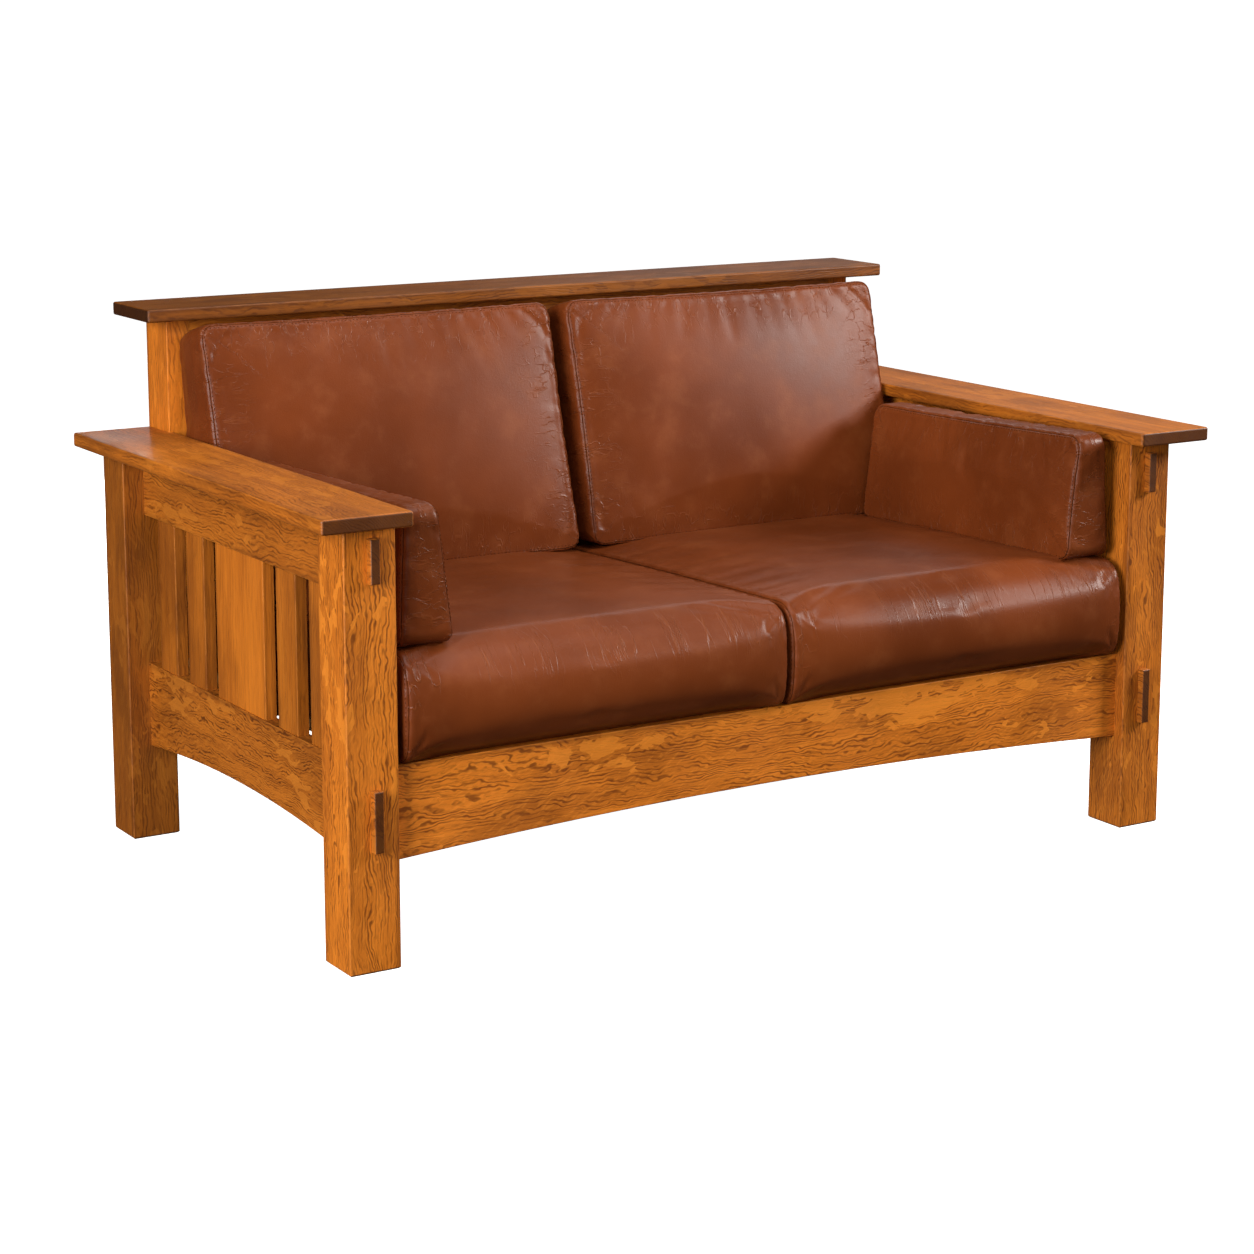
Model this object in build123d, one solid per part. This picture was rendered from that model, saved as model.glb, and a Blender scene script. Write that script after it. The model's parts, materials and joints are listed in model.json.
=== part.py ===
from build123d import *
import math
import os

# A two-seat mission settle in quartersawn oak with loose leather cushions.
# X runs across the settle, -Y is its front and Z is up. The origin lies on the floor,
# under the middle of the whole piece. Left and right are as seen from the front.
# All lengths are in millimetres.

os.makedirs("parts", exist_ok=True)

# Posts and arm boards
leg_size = 78
leg_span = 1436
leg_spread = 840
leg_edge_radius = 2.5
foot_chamfer = 3
arm_height = 640
arm_thickness = 21
arm_side_overhang = 48
arm_inner_overhang = 10
arm_front_overhang = 36
board_corner_radius = 5
board_edge_radius = 3.2

# Side panels and the front and rear seat rails
rail_thickness = 24
rail_edge_radius = 1.2
side_rail_inset = 34
upper_rail_height = 104
seat_rail_top = 281
seat_rail_height = 134
seat_rail_setback = 20
arch_rise = 20
tenon_thickness = 14
tenon_face_offset = 1
tenon_shoulder = 24
upper_tenon_drop = 16
upper_tenon_height = 62
tenon_proud = 12
tenon_chamfer = 1.5
blind_tenon_length = 50
seat_tenon_length = 24
joint_clearance = 0.15

# Slats
slat_thickness = 18
slat_recess = 3
slat_edge_radius = 1
narrow_slat_width = 64
wide_slat_width = 166
narrow_slats_each_end = 2
slat_tenon_length = 12
back_slat_count = 9
back_slat_width = 80

# Back frame and crest board
stile_thickness = 38
stile_depth = 80
back_top_rail_height = 90
back_low_rail_height = 80
back_low_rail_bottom = 390
back_rail_thickness = 24
back_tenon_length = 25
back_tenon_thickness = 12
back_tenon_shoulder = 12
crest_height = 836
crest_thickness = 20
crest_length = 1372
crest_front_overhang = 40
crest_back_overhang = 22

# Seat deck
deck_slat_thickness = 18
deck_slat_gap = 16.5
deck_slat_count = 7
deck_end_clearance = 1
cleat_width = 26
cleat_height = 40
cleat_end_clearance = 2

# Hardware
dowel_radius = 5
dowel_length_below = 30
dowel_length_above = 12
dowel_chamfer = 1
dowel_end_clearance = 1.5
fit_clearance = 0.1
crest_dowels_between = 4
arm_dowels_between = 2
bolt_radius = 4
bolt_reach = 40
bolt_head_radius = 7.5
bolt_head_height = 5.5
washer_radius = 10
washer_thickness = 1.6
bolt_height_shares = (0.25, 0.75)
screw_radius = 2
screw_head_radius = 4
screw_head_height = 3
screw_tip_height = 4
deck_screw_length = 38
cleat_screw_length = 42
cleat_screw_count = 6
cleat_screw_margin = 90
screw_sink = 0.5

# Cushions
soft_clearance = 0.3
seat_cushion_thickness = 166
seat_cushion_overhang = 12
seat_cushion_back_gap = 4
seat_end_gap = 14
seat_middle_gap = 10
seat_end_drop = 22
seat_end_rise = 9
seat_end_draw = 10
seat_front_top_radius = 62
seat_front_low_radius = 46
seat_back_radius = 16
seat_back_drop = 26
seat_top_bow = 5
seat_front_bow = 7
back_cushion_gap = 22
back_cushion_end_gap = 1
back_cushion_head_depth = 88
back_cushion_foot_depth = 138
back_cushion_lean = 15
back_cushion_radius = 14
back_cushion_crown = 22
back_cushion_draw = 9
back_cushion_head_rise = 5
back_cushion_rest_clearance = 0.6
pillow_back_gap = 3.1
pillow_front_setback = 24
pillow_height = 190
pillow_rest_clearance = 0.6
pillow_foot_width = 90
pillow_head_width = 58
pillow_outer_lean = 9
pillow_side_gap = 8
pillow_radius = 12
pillow_crown = 9
pillow_draw = 6

# Cuts run this far past the faces they open
overrun = 5

# Places that follow from the sizes above
total_depth = arm_front_overhang + leg_spread + crest_back_overhang
leg_front_y = arm_front_overhang - total_depth / 2
leg_back_y = leg_front_y + leg_spread
front_leg_back_y = leg_front_y + leg_size
back_leg_front_y = leg_back_y - leg_size
leg_outer_x = leg_span / 2
leg_inner_x = leg_outer_x - leg_size
leg_top = arm_height - arm_thickness
arm_inner_x = leg_inner_x - arm_inner_overhang
arm_outer_x = leg_outer_x + arm_side_overhang
seat_rail_bottom = seat_rail_top - seat_rail_height
upper_rail_bottom = leg_top - upper_rail_height
side_rail_outer_x = leg_outer_x - side_rail_inset
side_rail_inner_x = side_rail_outer_x - rail_thickness
side_tenon_outer_x = side_rail_outer_x - tenon_face_offset
side_tenon_inner_x = side_tenon_outer_x - tenon_thickness
seat_tenon_low = seat_rail_bottom + tenon_shoulder
seat_tenon_high = seat_rail_top - tenon_shoulder
upper_tenon_high = leg_top - upper_tenon_drop
upper_tenon_low = upper_tenon_high - upper_tenon_height
front_rail_front_y = leg_front_y + seat_rail_setback
front_rail_back_y = front_rail_front_y + rail_thickness
rear_rail_back_y = leg_back_y - seat_rail_setback
rear_rail_front_y = rear_rail_back_y - rail_thickness
stile_front_y = leg_back_y - stile_depth
stile_inner_x = leg_inner_x - stile_thickness
crest_bottom = crest_height - crest_thickness
crest_front_y = stile_front_y - crest_front_overhang
crest_back_y = leg_back_y + crest_back_overhang
back_rail_back_y = stile_front_y + back_rail_thickness
back_top_rail_bottom = crest_bottom - back_top_rail_height
back_low_rail_top = back_low_rail_bottom + back_low_rail_height
back_slat_front_y = stile_front_y + (back_rail_thickness - slat_thickness) / 2
deck_underside = seat_rail_top - deck_slat_thickness
deck_slat_width = (2 * leg_inner_x - (deck_slat_count + 1) * deck_slat_gap) / deck_slat_count
panel_opening = upper_rail_bottom - seat_rail_top
bolt_heights = [seat_rail_top + share * panel_opening for share in bolt_height_shares]
bolt_y = stile_front_y + stile_depth / 2
seat_cushion_bottom = seat_rail_top + soft_clearance
seat_cushion_top = seat_cushion_bottom + seat_cushion_thickness
SIDES = {"left": -1, "right": 1}


def side_span(side, first, second):
    """Low and high X of a piece that lies between two distances from the middle plane."""
    return tuple(sorted((side * first, side * second)))


def block(x_span, y_span, z_span):
    """A square-edged block between a low and a high value on each axis."""
    corner = Pos(x_span[0], y_span[0], z_span[0])
    lengths = [span[1] - span[0] for span in (x_span, y_span, z_span)]
    return corner * Box(*lengths, align=(Align.MIN, Align.MIN, Align.MIN))


def widened(span, amount):
    """The span with the same amount added at both ends."""
    return (span[0] - amount, span[1] + amount)


def mortise(x_span, y_span, z_span, open_axis=None, open_end=0):
    """The cutter for a tenon: wider by the clearance, and run out past one face if it is open there."""
    spans = [widened(span, joint_clearance) for span in (x_span, y_span, z_span)]
    if open_axis is not None:
        low, high = spans[open_axis]
        spans[open_axis] = (low - overrun, high) if open_end < 0 else (low, high + overrun)
    return block(*spans)


def eased(solid, axis, radius):
    """Rounds the edges that run along one axis."""
    return fillet(solid.edges().filter_by(axis), radius)


def eased_board(x_span, y_span, z_span):
    """A flat board with rounded corners and softly rounded rims."""
    board = eased(block(x_span, y_span, z_span), Axis.Z, board_corner_radius)
    rims = board.faces().sort_by(Axis.Z)
    return fillet(rims[0].edges() + rims[-1].edges(), board_edge_radius)


def even_places(low, high, count):
    """Centres of equal pieces set out with the same space between and outside them."""
    return [low + (high - low) * (index + 1) / (count + 1) for index in range(count)]


def gapped_places(low, high, widths):
    """Low ends of pieces of the given widths with equal gaps between and outside them."""
    gap = (high - low - sum(widths)) / (len(widths) + 1)
    starts = []
    cursor = low + gap
    for width in widths:
        starts.append(cursor)
        cursor += width + gap
    return starts


def post(x_span, y_span):
    """A square leg with a small chamfer round its foot and eased upright edges."""
    leg = block(x_span, y_span, (0, leg_top))
    leg = chamfer(leg.faces().sort_by(Axis.Z)[0].edges(), foot_chamfer)
    return eased(leg, Axis.Z, leg_edge_radius)


def dowel(x, y, seam):
    """A dowel pin that crosses a level seam, with chamfered ends."""
    length = dowel_length_below + dowel_length_above
    middle = seam + (dowel_length_above - dowel_length_below) / 2
    pin = Pos(x, y, middle) * Cylinder(dowel_radius, length)
    return chamfer(pin.edges().filter_by(GeomType.CIRCLE), dowel_chamfer)


def dowel_hole(x, y, seam):
    """The hole for a dowel pin, deeper than the pin at both ends."""
    length = dowel_length_below + dowel_length_above + 2 * dowel_end_clearance
    middle = seam + (dowel_length_above - dowel_length_below) / 2
    return Pos(x, y, middle) * Cylinder(dowel_radius + fit_clearance, length)


def arm_dowel_places(side):
    """Dowel centres under an arm board: beside the tenon in each leg, and along the rail."""
    leg_x = side * (leg_inner_x + side_tenon_inner_x) / 2
    rail_x = side * (side_rail_inner_x + rail_thickness / 2)
    places = [(leg_x, leg_front_y + leg_size / 2), (leg_x, leg_back_y - leg_size / 2)]
    along = even_places(front_leg_back_y, back_leg_front_y, arm_dowels_between)
    return places + [(rail_x, y) for y in along]


def crest_dowel_places():
    """Dowel centres under the crest board: one on each stile and some along the top rail."""
    stile_x = stile_inner_x + stile_thickness / 2
    places = [(side * stile_x, bolt_y) for side in SIDES.values()]
    along = even_places(-stile_inner_x, stile_inner_x, crest_dowels_between)
    return places + [(x, stile_front_y + back_rail_thickness / 2) for x in along]


def cut_holes(solid, holes):
    """Takes every cutter in the list out of the solid."""
    for hole in holes:
        solid -= hole
    return solid


def side_tenons(side):
    """X span of the side rails' tenons, and the height spans of the upper and the lower one."""
    x_span = side_span(side, side_tenon_inner_x, side_tenon_outer_x)
    return x_span, (upper_tenon_low, upper_tenon_high), (seat_tenon_low, seat_tenon_high)


def seat_rail_tenon(side, rail_front_y):
    """Spans of the tenon at one end of the front or rear seat rail."""
    shoulder = (rail_thickness - tenon_thickness) / 2
    y_span = (rail_front_y + shoulder, rail_front_y + shoulder + tenon_thickness)
    x_span = side_span(side, leg_inner_x, leg_inner_x + seat_tenon_length)
    return x_span, y_span, (seat_tenon_low, seat_tenon_high)


def front_leg(side):
    """Front post, mortised right through for the side rails and from inside for the front rail."""
    y_span = (leg_front_y, front_leg_back_y)
    leg = post(side_span(side, leg_inner_x, leg_outer_x), y_span)
    tenon_x, upper_z, lower_z = side_tenons(side)
    through = widened(y_span, overrun)
    leg = cut_holes(leg, [mortise(tenon_x, through, z_span) for z_span in (upper_z, lower_z)])
    leg -= mortise(*seat_rail_tenon(side, front_rail_front_y), open_axis=0, open_end=-side)
    return cut_holes(leg, [dowel_hole(x, y, leg_top) for x, y in arm_dowel_places(side)])


def back_leg(side):
    """Back post, with blind mortises for the rails and bolt holes for the back frame."""
    leg = post(side_span(side, leg_inner_x, leg_outer_x), (back_leg_front_y, leg_back_y))
    tenon_x, upper_z, lower_z = side_tenons(side)
    tenon_y = (back_leg_front_y, back_leg_front_y + blind_tenon_length)
    for z_span in (upper_z, lower_z):
        leg -= mortise(tenon_x, tenon_y, z_span, open_axis=1, open_end=-1)
    leg -= mortise(*seat_rail_tenon(side, rear_rail_front_y), open_axis=0, open_end=-side)
    leg = cut_holes(leg, [bolt_hole(side, z) for z in bolt_heights])
    return cut_holes(leg, [dowel_hole(x, y, leg_top) for x, y in arm_dowel_places(side)])


def arm_board(side):
    """Flat arm board, notched at its back inner corner round the back frame's stile."""
    x_span = side_span(side, arm_inner_x, arm_outer_x)
    front = leg_front_y - arm_front_overhang
    board = eased_board(x_span, (front, leg_back_y), (leg_top, arm_height))
    board -= block(
        side_span(side, arm_inner_x - overrun, leg_inner_x),
        (stile_front_y - joint_clearance, leg_back_y + overrun),
        widened((leg_top, arm_height), overrun),
    )
    return cut_holes(board, [dowel_hole(x, y, leg_top) for x, y in arm_dowel_places(side)])


def side_slats():
    """Low Y and width of each slat of a side panel, from front to back."""
    narrow = [narrow_slat_width] * narrow_slats_each_end
    widths = narrow + [wide_slat_width] + narrow
    starts = gapped_places(front_leg_back_y, back_leg_front_y, widths)
    return list(zip(starts, widths))


def slat_x_span(side):
    """X span of the side slats, a little behind the rails' outer face."""
    outer = side_rail_outer_x - slat_recess
    return side_span(side, outer - slat_thickness, outer)


def side_slat(side, start, width):
    """One upright slat of a side panel, with its ends let into the rails."""
    z_span = widened((seat_rail_top, upper_rail_bottom), slat_tenon_length)
    return eased(block(slat_x_span(side), (start, start + width), z_span), Axis.Z, slat_edge_radius)


def side_slat_mortises(side):
    """Cutters for the slats' ends in both rails of a side panel."""
    z_span = widened((seat_rail_top, upper_rail_bottom), slat_tenon_length)
    return [mortise(slat_x_span(side), (y, y + width), z_span) for y, width in side_slats()]


def arched_board(length, bottom, top):
    """A rail centred on X whose lower edge rises in a shallow arc, with its front face on Y = 0."""
    half = length / 2
    arch = ThreePointArc((-half, bottom), (0, bottom + arch_rise), (half, bottom))
    rest = Polyline((half, bottom), (half, top), (-half, top), (-half, bottom))
    face = make_face(Plane.XZ * Curve([arch, rest]))
    board = extrude(face, rail_thickness, dir=(0, 1, 0))
    board = chamfer(board.edges().filter_by(GeomType.CIRCLE), rail_edge_radius)
    top_edges = board.edges().filter_by(Axis.X).group_by(Axis.Z)[-1]
    return fillet(top_edges, rail_edge_radius)


def rail_with_side_tenons(side, body, z_span):
    """Adds the proud through tenon at the front and the blind tenon at the back of a side rail."""
    tenon_x = side_tenons(side)[0]
    front_y = (leg_front_y - tenon_proud, front_leg_back_y)
    front = block(tenon_x, front_y, z_span)
    front = chamfer(front.faces().sort_by(Axis.Y)[0].edges(), tenon_chamfer)
    back_y = (back_leg_front_y, back_leg_front_y + blind_tenon_length)
    return body + front + block(tenon_x, back_y, z_span)


def upper_side_rail(side):
    """Upper rail of a side panel, under the arm board."""
    x_span = side_span(side, side_rail_inner_x, side_rail_outer_x)
    body = block(x_span, (front_leg_back_y, back_leg_front_y), (upper_rail_bottom, leg_top))
    body = eased(body, Axis.Y, rail_edge_radius)
    rail = rail_with_side_tenons(side, body, (upper_tenon_low, upper_tenon_high))
    holes = [dowel_hole(x, y, leg_top) for x, y in arm_dowel_places(side)[2:]]
    return cut_holes(rail, holes + side_slat_mortises(side))


def lower_side_rail(side):
    """Lower rail of a side panel, with an arched lower edge."""
    length = back_leg_front_y - front_leg_back_y
    board = arched_board(length, seat_rail_bottom, seat_rail_top)
    middle_y = (front_leg_back_y + back_leg_front_y) / 2
    face_x = side * side_rail_outer_x
    body = Pos(face_x, middle_y, 0) * Rot(0, 0, side * 90) * board
    rail = rail_with_side_tenons(side, body, (seat_tenon_low, seat_tenon_high))
    return cut_holes(rail, side_slat_mortises(side))


def seat_rail(front_y):
    """Front or rear seat rail, arched below and tenoned into the legs at both ends."""
    rail = Pos(0, front_y, 0) * arched_board(2 * leg_inner_x, seat_rail_bottom, seat_rail_top)
    for side in SIDES.values():
        rail += block(*seat_rail_tenon(side, front_y))
    return rail


def back_rail_tenon(side, z_span):
    """Spans of the tenon at one end of a rail of the back frame."""
    shoulder = (back_rail_thickness - back_tenon_thickness) / 2
    y_span = (stile_front_y + shoulder, stile_front_y + shoulder + back_tenon_thickness)
    x_span = side_span(side, stile_inner_x, stile_inner_x + back_tenon_length)
    return x_span, y_span, widened(z_span, -back_tenon_shoulder)


def back_rails():
    """Height spans of the lower and the top rail of the back frame."""
    return (back_low_rail_bottom, back_low_rail_top), (back_top_rail_bottom, crest_bottom)


def stile(side):
    """Upright at one end of the back frame, bolted to the inner face of the back leg."""
    x_span = side_span(side, stile_inner_x, leg_inner_x)
    body = block(x_span, (stile_front_y, leg_back_y), (seat_rail_top, crest_bottom))
    body = eased(body, Axis.Z, rail_edge_radius)
    for z_span in back_rails():
        body -= mortise(*back_rail_tenon(side, z_span), open_axis=0, open_end=-side)
    body = cut_holes(body, [bolt_hole(side, z) for z in bolt_heights])
    return cut_holes(body, [dowel_hole(x, y, crest_bottom) for x, y in crest_dowel_places()])


def back_slat_starts():
    """Low X of each slat of the back frame."""
    return gapped_places(-stile_inner_x, stile_inner_x, [back_slat_width] * back_slat_count)


def back_slat_spans(start):
    """Spans of one slat of the back frame, its ends let into the rails included."""
    y_span = (back_slat_front_y, back_slat_front_y + slat_thickness)
    z_span = widened((back_low_rail_top, back_top_rail_bottom), slat_tenon_length)
    return (start, start + back_slat_width), y_span, z_span


def back_slat(start):
    """One upright slat of the back frame."""
    return eased(block(*back_slat_spans(start)), Axis.Z, slat_edge_radius)


def back_rail(z_span):
    """One level rail of the back frame, mortised for the slats and tenoned into the stiles."""
    y_span = (stile_front_y, back_rail_back_y)
    rail = eased(block((-stile_inner_x, stile_inner_x), y_span, z_span), Axis.X, rail_edge_radius)
    for side in SIDES.values():
        rail += block(*back_rail_tenon(side, z_span))
    rail = cut_holes(rail, [mortise(*back_slat_spans(start)) for start in back_slat_starts()])
    return cut_holes(rail, [dowel_hole(x, y, crest_bottom) for x, y in crest_dowel_places()])


def crest_board():
    """Flat board that caps the back frame."""
    x_span = (-crest_length / 2, crest_length / 2)
    board = eased_board(x_span, (crest_front_y, crest_back_y), (crest_bottom, crest_height))
    return cut_holes(board, [dowel_hole(x, y, crest_bottom) for x, y in crest_dowel_places()])


def screw_outline(clearance):
    """Half outline of a countersunk screw, its head at the top, grown by a clearance."""
    shank = screw_radius + clearance
    head = screw_head_radius + clearance
    return shank, head


def wood_screw(length, clearance=0):
    """A countersunk wood screw that points down from the origin."""
    shank, head = screw_outline(clearance)
    tip_start = length - screw_tip_height
    outline = Polyline(
        (0, 0),
        (head, 0),
        (shank, -screw_head_height),
        (shank, -tip_start),
        (0, -length - clearance),
        (0, 0),
    )
    return revolve(make_face(Plane.XZ * outline), Axis.Z)


def deck_slats():
    """Low X of each slat of the seat deck."""
    return gapped_places(-leg_inner_x, leg_inner_x, [deck_slat_width] * deck_slat_count)


def deck_screws(clearance=0):
    """Screws that hold the deck slats down on the cleats."""
    rows = (front_rail_back_y + cleat_width / 2, rear_rail_front_y - cleat_width / 2)
    height = seat_rail_top - screw_sink
    screw = wood_screw(deck_screw_length, clearance)
    centres = [start + deck_slat_width / 2 for start in deck_slats()]
    return [Pos(x, y, height) * screw for x in centres for y in rows]


def cleat_screw_xs():
    """X places of the screws through each cleat, each beside a gap of the deck."""
    reach = leg_inner_x - cleat_screw_margin
    step = 2 * reach / (cleat_screw_count - 1)
    return [-reach + index * step for index in range(cleat_screw_count)]


def cleat_screws(clearance=0):
    """Screws that hold the cleats to the seat rails."""
    height = deck_underside - cleat_height * 2 / 3
    screw = wood_screw(cleat_screw_length, clearance)
    front_face = front_rail_back_y + cleat_width - screw_sink
    rear_face = rear_rail_front_y - cleat_width + screw_sink
    front = [Pos(x, front_face, height) * Rot(-90, 0, 0) * screw for x in cleat_screw_xs()]
    rear = [Pos(x, rear_face, height) * Rot(90, 0, 0) * screw for x in cleat_screw_xs()]
    return front, rear


def cleat(rail_face_y, into_seat):
    """A strip along a seat rail that carries the ends of the deck slats."""
    x_span = widened((-leg_inner_x, leg_inner_x), -cleat_end_clearance)
    y_span = tuple(sorted((rail_face_y, rail_face_y + into_seat * cleat_width)))
    strip = block(x_span, y_span, (deck_underside - cleat_height, deck_underside))
    strip = eased(strip, Axis.X, rail_edge_radius)
    strip = cut_holes(strip, deck_screws(fit_clearance))
    return cut_holes(strip, cleat_screws(fit_clearance)[0 if into_seat > 0 else 1])


def deck_slat(start):
    """One slat of the seat deck, from the front rail to the rear rail."""
    y_span = (front_rail_back_y + deck_end_clearance, rear_rail_front_y - deck_end_clearance)
    slat = block((start, start + deck_slat_width), y_span, (deck_underside, seat_rail_top))
    slat = eased(slat, Axis.Y, slat_edge_radius)
    return cut_holes(slat, deck_screws(fit_clearance))


def bolt_axis(side, distance, height):
    """Frame at a point on a bolt's axis, with its Z pointing outward through stile and leg."""
    return Plane(origin=(side * distance, bolt_y, height), z_dir=(side, 0, 0))


def bolt_hole(side, height):
    """Hole for a back frame bolt through the stile and into the back leg."""
    length = stile_thickness + bolt_reach + dowel_end_clearance + overrun
    start = bolt_axis(side, stile_inner_x - overrun, height)
    return start * Cylinder(
        bolt_radius + fit_clearance, length, align=(Align.CENTER, Align.CENTER, Align.MIN)
    )


def frame_bolt(side, height):
    """Hexagon-headed bolt, its head on a washer at the stile's inner face."""
    seat = stile_inner_x - washer_thickness
    shank_length = washer_thickness + stile_thickness + bolt_reach
    start = bolt_axis(side, seat, height)
    shank = start * Cylinder(
        bolt_radius, shank_length, align=(Align.CENTER, Align.CENTER, Align.MIN)
    )
    head = bolt_axis(side, seat - bolt_head_height, height) * extrude(
        RegularPolygon(bolt_head_radius, 6), bolt_head_height
    )
    return shank + head


def bolt_washer(side, height):
    """Flat washer between a bolt's head and the stile."""
    disc = extrude(Circle(washer_radius) - Circle(bolt_radius + fit_clearance), washer_thickness)
    return bolt_axis(side, stile_inner_x - washer_thickness, height) * disc


def bowed_outline(corners, radii, bows):
    """Closed outline with rounded corners, each side bowed out by its own amount.

    The sides run from each corner to the next, and the corners go round anticlockwise.
    """
    points = [Vector(*corner) for corner in corners]
    count = len(points)
    starts, middles, ends = [], [], []
    for index, point in enumerate(points):
        before = (points[index - 1] - point).normalized()
        after = (points[(index + 1) % count] - point).normalized()
        half_angle = math.radians(before.get_angle(after)) / 2
        reach = radii[index] / math.tan(half_angle)
        inward = (before + after).normalized()
        starts.append(point + before * reach)
        ends.append(point + after * reach)
        middles.append(point + inward * (radii[index] / math.sin(half_angle) - radii[index]))
    pieces = []
    for index in range(count):
        following = (index + 1) % count
        pieces.append(ThreePointArc(starts[index], middles[index], ends[index]))
        first, last = ends[index], starts[following]
        if bows[index]:
            along = (last - first).normalized()
            outward = Vector(along.Y, -along.X)
            peak = (first + last) / 2 + outward * bows[index]
            pieces.append(ThreePointArc(first, peak, last))
        else:
            pieces.append(Line(first, last))
    return Wire(pieces)


def lofted_cushion(outline_at, stations, place):
    """A soft body through outlines at the given stations, from one end share of 0 to the other of 1."""
    sections = [place(station) * outline_at(share) for share, station in stations]
    return Solid.make_loft(sections)


# Shares along a cushion at which its outline is set, closer together near the ends
STATION_SHARES = (0, 0.05, 0.14, 0.28, 0.5, 0.72, 0.86, 0.95, 1)
# Share of its bow that a cushion's face keeps at its sewn ends
END_BOW_SHARE = 0.25
# How squarely the firm seat cushions and the softer others fill out: the higher, the flatter
SEAT_FILL_POWER = 5
SOFT_FILL_POWER = 3


def fullness(share, power):
    """How far a cushion has filled out, 0 at its sewn ends and 1 at its middle."""
    return 1 - abs(2 * share - 1) ** power


def bow_at(full, bow):
    """Bow of a cushion's face where the cushion is filled out so far."""
    return bow * (END_BOW_SHARE + (1 - END_BOW_SHARE) * full)


def stations_between(low, high):
    """Pairs of a share and its place between two ends."""
    return [(share, low + share * (high - low)) for share in STATION_SHARES]


def seat_cushion_reach():
    """Distances of a seat cushion's two ends from the middle plane."""
    return seat_middle_gap / 2, leg_inner_x - seat_end_gap


def seat_cushion_depth():
    """Y of a seat cushion's front, before its bow, and of its back."""
    return leg_front_y - seat_cushion_overhang + seat_front_bow, stile_front_y - seat_cushion_back_gap


def seat_top_at(distance, y):
    """Height of a seat cushion's crowned top, which falls to the back, at a distance from the middle plane."""
    near, far = seat_cushion_reach()
    front, back = seat_cushion_depth()
    full = fullness((distance - near) / (far - near), SEAT_FILL_POWER)
    corner = seat_cushion_top - seat_top_bow - seat_end_drop * (1 - full)
    fall = seat_back_drop * (y - front) / (back - front)
    crown_start = front + seat_front_top_radius
    crown_end = back - seat_back_radius
    from_middle = (2 * y - crown_start - crown_end) / (crown_end - crown_start)
    return corner - fall + bow_at(full, seat_top_bow) * (1 - from_middle ** 2)


def seat_cushion(side):
    """Seat cushion whose cover wraps over a rounded front, crowned, with drawn-in sewn ends."""
    x_low, x_high = side_span(side, *seat_cushion_reach())
    front, back = seat_cushion_depth()

    def outline_at(share):
        full = fullness(share, SEAT_FILL_POWER)
        slack = 1 - full
        low = seat_cushion_bottom + seat_end_rise * slack
        high = seat_cushion_top - seat_top_bow - seat_end_drop * slack
        nose = front + seat_end_draw * slack
        tail = back - seat_end_draw * slack
        corners = ((nose, low), (tail, low), (tail, high - seat_back_drop), (nose, high))
        radii = (seat_front_low_radius, seat_back_radius, seat_back_radius, seat_front_top_radius)
        bows = (0, 0, bow_at(full, seat_top_bow), seat_front_bow)
        return bowed_outline(corners, radii, bows)

    return lofted_cushion(outline_at, stations_between(x_low, x_high), lambda x: Plane(
        origin=(x, 0, 0), x_dir=(0, 1, 0), z_dir=(1, 0, 0)))


def back_cushion_profile():
    """Corners of a back cushion's side: front foot, back foot, back head and front head."""
    lean = math.tan(math.radians(back_cushion_lean))
    seat_middle = sum(seat_cushion_reach()) / 2
    head_front_z = crest_bottom + back_cushion_head_rise
    head_back_z = head_front_z - back_cushion_head_depth * lean
    head_back_y = stile_front_y - soft_clearance
    head_front_y = head_back_y - back_cushion_head_depth
    foot_front_y = head_front_y - (head_front_z - seat_cushion_top) * lean
    foot_back_y = foot_front_y + back_cushion_foot_depth
    return (
        (foot_front_y, seat_top_at(seat_middle, foot_front_y) + back_cushion_rest_clearance),
        (foot_back_y, seat_top_at(seat_middle, foot_back_y) + back_cushion_rest_clearance),
        (head_back_y, head_back_z),
        (head_front_y, head_front_z),
    )


def back_cushion(side):
    """Boxed back cushion that leans back against the back frame, with a crowned front."""
    x_low, x_high = side_span(side, back_cushion_gap / 2, arm_inner_x - back_cushion_end_gap)
    foot_front, foot_back, head_back, head_front = back_cushion_profile()

    def outline_at(share):
        full = fullness(share, SOFT_FILL_POWER)
        slack = back_cushion_draw * (1 - full)
        corners = (
            (foot_front[0] + slack, foot_front[1] + slack),
            (foot_back[0] - slack, foot_back[1] + slack),
            (head_back[0] - slack, head_back[1] - slack),
            (head_front[0] + slack, head_front[1] - slack),
        )
        bows = (0, 0, 0, bow_at(full, back_cushion_crown))
        return bowed_outline(corners, [back_cushion_radius] * len(corners), bows)

    return lofted_cushion(outline_at, stations_between(x_low, x_high), lambda x: Plane(
        origin=(x, 0, 0), x_dir=(0, 1, 0), z_dir=(1, 0, 0)))


def pillow_rest_line(distance, y_low, y_high):
    """Heights of an arm pillow's foot at its front and back, on a line that touches the seat's crown."""
    fall = (seat_top_at(distance, y_low) - seat_top_at(distance, y_high)) / 2
    rest = seat_top_at(distance, (y_low + y_high) / 2) + pillow_rest_clearance
    return rest + fall, rest - fall


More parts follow.
